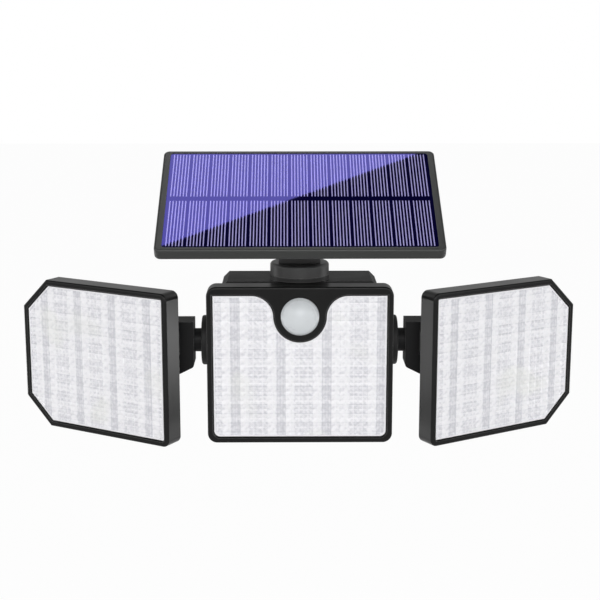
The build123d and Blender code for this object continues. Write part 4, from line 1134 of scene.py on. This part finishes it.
class LIGHT_OT_stage(DressOperator, bpy.types.Operator):
    """Set up the floor, the soft lamps, the room light and the camera"""

    bl_idname = "light.stage"
    bl_label = "Stage"

    def execute(self, context):
        _, _, stage = self.settings(context)
        camera = self.make_camera(context, stage)
        self.make_floor(stage)
        self.make_world(context, stage)
        self.make_lamps(camera, stage)
        return {"FINISHED"}

    def make_camera(self, context, stage):
        data = bpy.data.cameras.new("studio_camera")
        data.lens = stage.focal_length
        data.sensor_width = CAMERA_SENSOR
        camera = linked("studio_camera", data)
        camera.location = (stage.camera_shift, -stage.camera_distance, stage.camera_height)
        camera.rotation_euler = (math.pi / 2 - stage.camera_pitch, 0, -stage.camera_turn)
        context.scene.camera = camera
        return camera

    def make_floor(self, stage):
        """A wide pale floor, nearly white to the camera, with a trace of the shadow."""
        level = cad_box[0].z - stage.floor_drop
        work = bmesh.new()
        bmesh.ops.create_grid(work, x_segments=8, y_segments=8, size=FLOOR_HALF_WIDTH)
        floor = linked("studio_floor", mesh_from("studio_floor", work))
        floor.location = (0, 0, level)
        material, shade, surface, position = new_material("pale_floor")
        cloud = shade.noise(position, scale=1.5)
        pale = shade.mix(cloud, (0.80, 0.80, 0.80, 1), (0.84, 0.84, 0.84, 1))
        shade.fill(surface, Base_Color=pale, Roughness=0.8)
        path = shade.node("ShaderNodeLightPath")
        glow = shade.node("ShaderNodeEmission")
        blend = shade.node("ShaderNodeMixShader")
        seen = shade.math("MULTIPLY", path.outputs["Is Camera Ray"], FLOOR_GLOW)
        shade.link(seen, blend.inputs["Fac"])
        shade.link(surface.outputs["BSDF"], blend.inputs[1])
        shade.link(glow.outputs["Emission"], blend.inputs[2])
        output = next(node for node in shade.tree.nodes if node.type == "OUTPUT_MATERIAL")
        shade.link(blend.outputs["Shader"], output.inputs["Surface"])
        floor.data.materials.append(material)

    def make_world(self, context, stage):
        """Even room light: white to the camera, darker overhead and behind in mirrors."""
        world = bpy.data.worlds.new("studio_room")
        context.scene.world = world
        world.use_nodes = True
        shade = Shade(world.node_tree)
        path = shade.node("ShaderNodeLightPath")
        direction = shade.node("ShaderNodeTexCoord").outputs["Generated"]
        height = shade.dot(direction, (0, 0, 1))
        # both ramps run over the direction's height or depth, from full to darkest
        ceiling = shade.ramp(height, low=0.45, high=0.8, out_low=1.0, out_high=0.04)
        depth = shade.dot(direction, (0, 1, 0))
        behind = shade.ramp(depth, low=0.3, high=0.7, out_low=1.0, out_high=0.42)
        ceiling = shade.math("MULTIPLY", ceiling, behind)
        mirrored = shade.math(
            "MAXIMUM", path.outputs["Is Glossy Ray"], path.outputs["Is Transmission Ray"],
        )
        lit = shade.ramp(path.outputs["Is Camera Ray"], 0.0, 1.0, stage.world_light, 1.0)
        in_mirrors = shade.math("MULTIPLY", mirrored, shade.math("SUBTRACT", ceiling, lit))
        background = shade.node("ShaderNodeBackground")
        shade.link(shade.math("ADD", lit, in_mirrors), background.inputs["Strength"])
        background.inputs["Color"].default_value = (1, 1, 1, 1)
        output = shade.node("ShaderNodeOutputWorld")
        shade.link(background.outputs["Background"], output.inputs["Surface"])
        context.scene.view_settings.view_transform = "Standard"

    def make_lamps(self, camera, stage):
        """Roof lamp whose edge crosses the panel's reflection, and lamps round the light."""
        middle, across, up, outward = face_plane("solar_cover")
        width, height = spans("solar_cover", middle, across, up)

        def mirrored(x, y):
            """Where the camera's ray, mirrored at a panel point, meets the roof lamp's level."""
            point = middle + across * x + up * y
            ray = (point - camera.location).normalized()
            bounced = ray - outward * 2 * ray.dot(outward)
            return point + bounced * ((stage.roof_height - point.z) / bounced.z)

        # the lamp's edge runs from near to far, and it reaches past both and past the lit side
        near = mirrored(-width / 2, -height / 2)
        far = mirrored(width / 2 - 4 * MM, height / 2)
        edge = (far - near).normalized()
        lit_side = mirrored(-width / 2, height / 2)
        side = (lit_side - near) - edge * (lit_side - near).dot(edge)
        side.normalize()
        lamp_width = (far - near).length * 1.5
        lamp_depth = (lit_side - near).dot(side) * 1.6
        centre = (near + far) / 2 + side * lamp_depth / 2
        roof = self.lamp("roof_lamp", centre, stage.roof_power, lamp_width, lamp_depth)
        normal = edge.cross(side)
        if normal.z < 0:
            edge = -edge
        roof.rotation_euler = Matrix((edge, side, edge.cross(side))).transposed().to_euler()
        self.aimed("front_lamp", 1, stage.front_power, FRONT_LAMP)
        for way, hand in ((-1, "left"), (1, "right")):
            self.aimed(hand + "_lamp", way, stage.side_power, SIDE_LAMP)
        for way, hand in ((-1, "left"), (1, "right")):
            rim = self.aimed(hand + "_rim_lamp", way, stage.rim_power, RIM_LAMP)
            rim.data.use_shadow = False

    def lamp(self, name, place, power, width, depth):
        data = bpy.data.lights.new(name, "AREA")
        data.shape = "RECTANGLE"
        data.size = width
        data.size_y = depth
        data.energy = power
        made = linked(name, data)
        made.location = place
        return made

    def aimed(self, name, way, power, form):
        """A lamp turned to the light's middle; way is -1 for its mirrored place."""
        (x, y, z), width, depth = form
        place = Vector((x * way, y, z))
        made = self.lamp(name, place, power, width, depth)
        target = (cad_box[0] + cad_box[1]) / 2
        made.rotation_euler = (target - place).to_track_quat("-Z", "Y").to_euler()
        return made


class LIGHT_PT_sidebar(bpy.types.Panel):
    """Lists the settings and steps of the light"""

    bl_label = "Wall Light"
    bl_idname = "LIGHT_PT_sidebar"
    bl_space_type = "VIEW_3D"
    bl_region_type = "UI"
    bl_category = "Wall Light"

    def draw(self, context):
        scene = context.scene
        for group in (scene.light_finish, scene.light_detail, scene.light_stage):
            box = self.layout.box()
            for name in group.__annotations__:
                box.prop(group, name)
        column = self.layout.column(align=True)
        for operator in OPERATORS:
            column.operator(operator.bl_idname)


SETTINGS = (FinishSettings, DetailSettings, StageSettings)
OPERATORS = (
    LIGHT_OT_housings,
    LIGHT_OT_lenses,
    LIGHT_OT_sensor,
    LIGHT_OT_solar_face,
    LIGHT_OT_fasteners,
    LIGHT_OT_inner_parts,
    LIGHT_OT_stage,
)


def register():
    for item in (*SETTINGS, *OPERATORS, LIGHT_PT_sidebar):
        bpy.utils.register_class(item)
    bpy.types.Scene.light_finish = PointerProperty(type=FinishSettings)
    bpy.types.Scene.light_detail = PointerProperty(type=DetailSettings)
    bpy.types.Scene.light_stage = PointerProperty(type=StageSettings)


def unregister():
    del bpy.types.Scene.light_finish
    del bpy.types.Scene.light_detail
    del bpy.types.Scene.light_stage
    for item in reversed((*SETTINGS, *OPERATORS, LIGHT_PT_sidebar)):
        bpy.utils.unregister_class(item)


def main():
    """Builds the whole light."""
    register()
    bpy.ops.light.housings()
    bpy.ops.light.lenses()
    bpy.ops.light.sensor()
    bpy.ops.light.solar_face()
    bpy.ops.light.fasteners()
    bpy.ops.light.inner_parts()
    bpy.ops.light.stage()


if __name__ == "__main__":
    main()
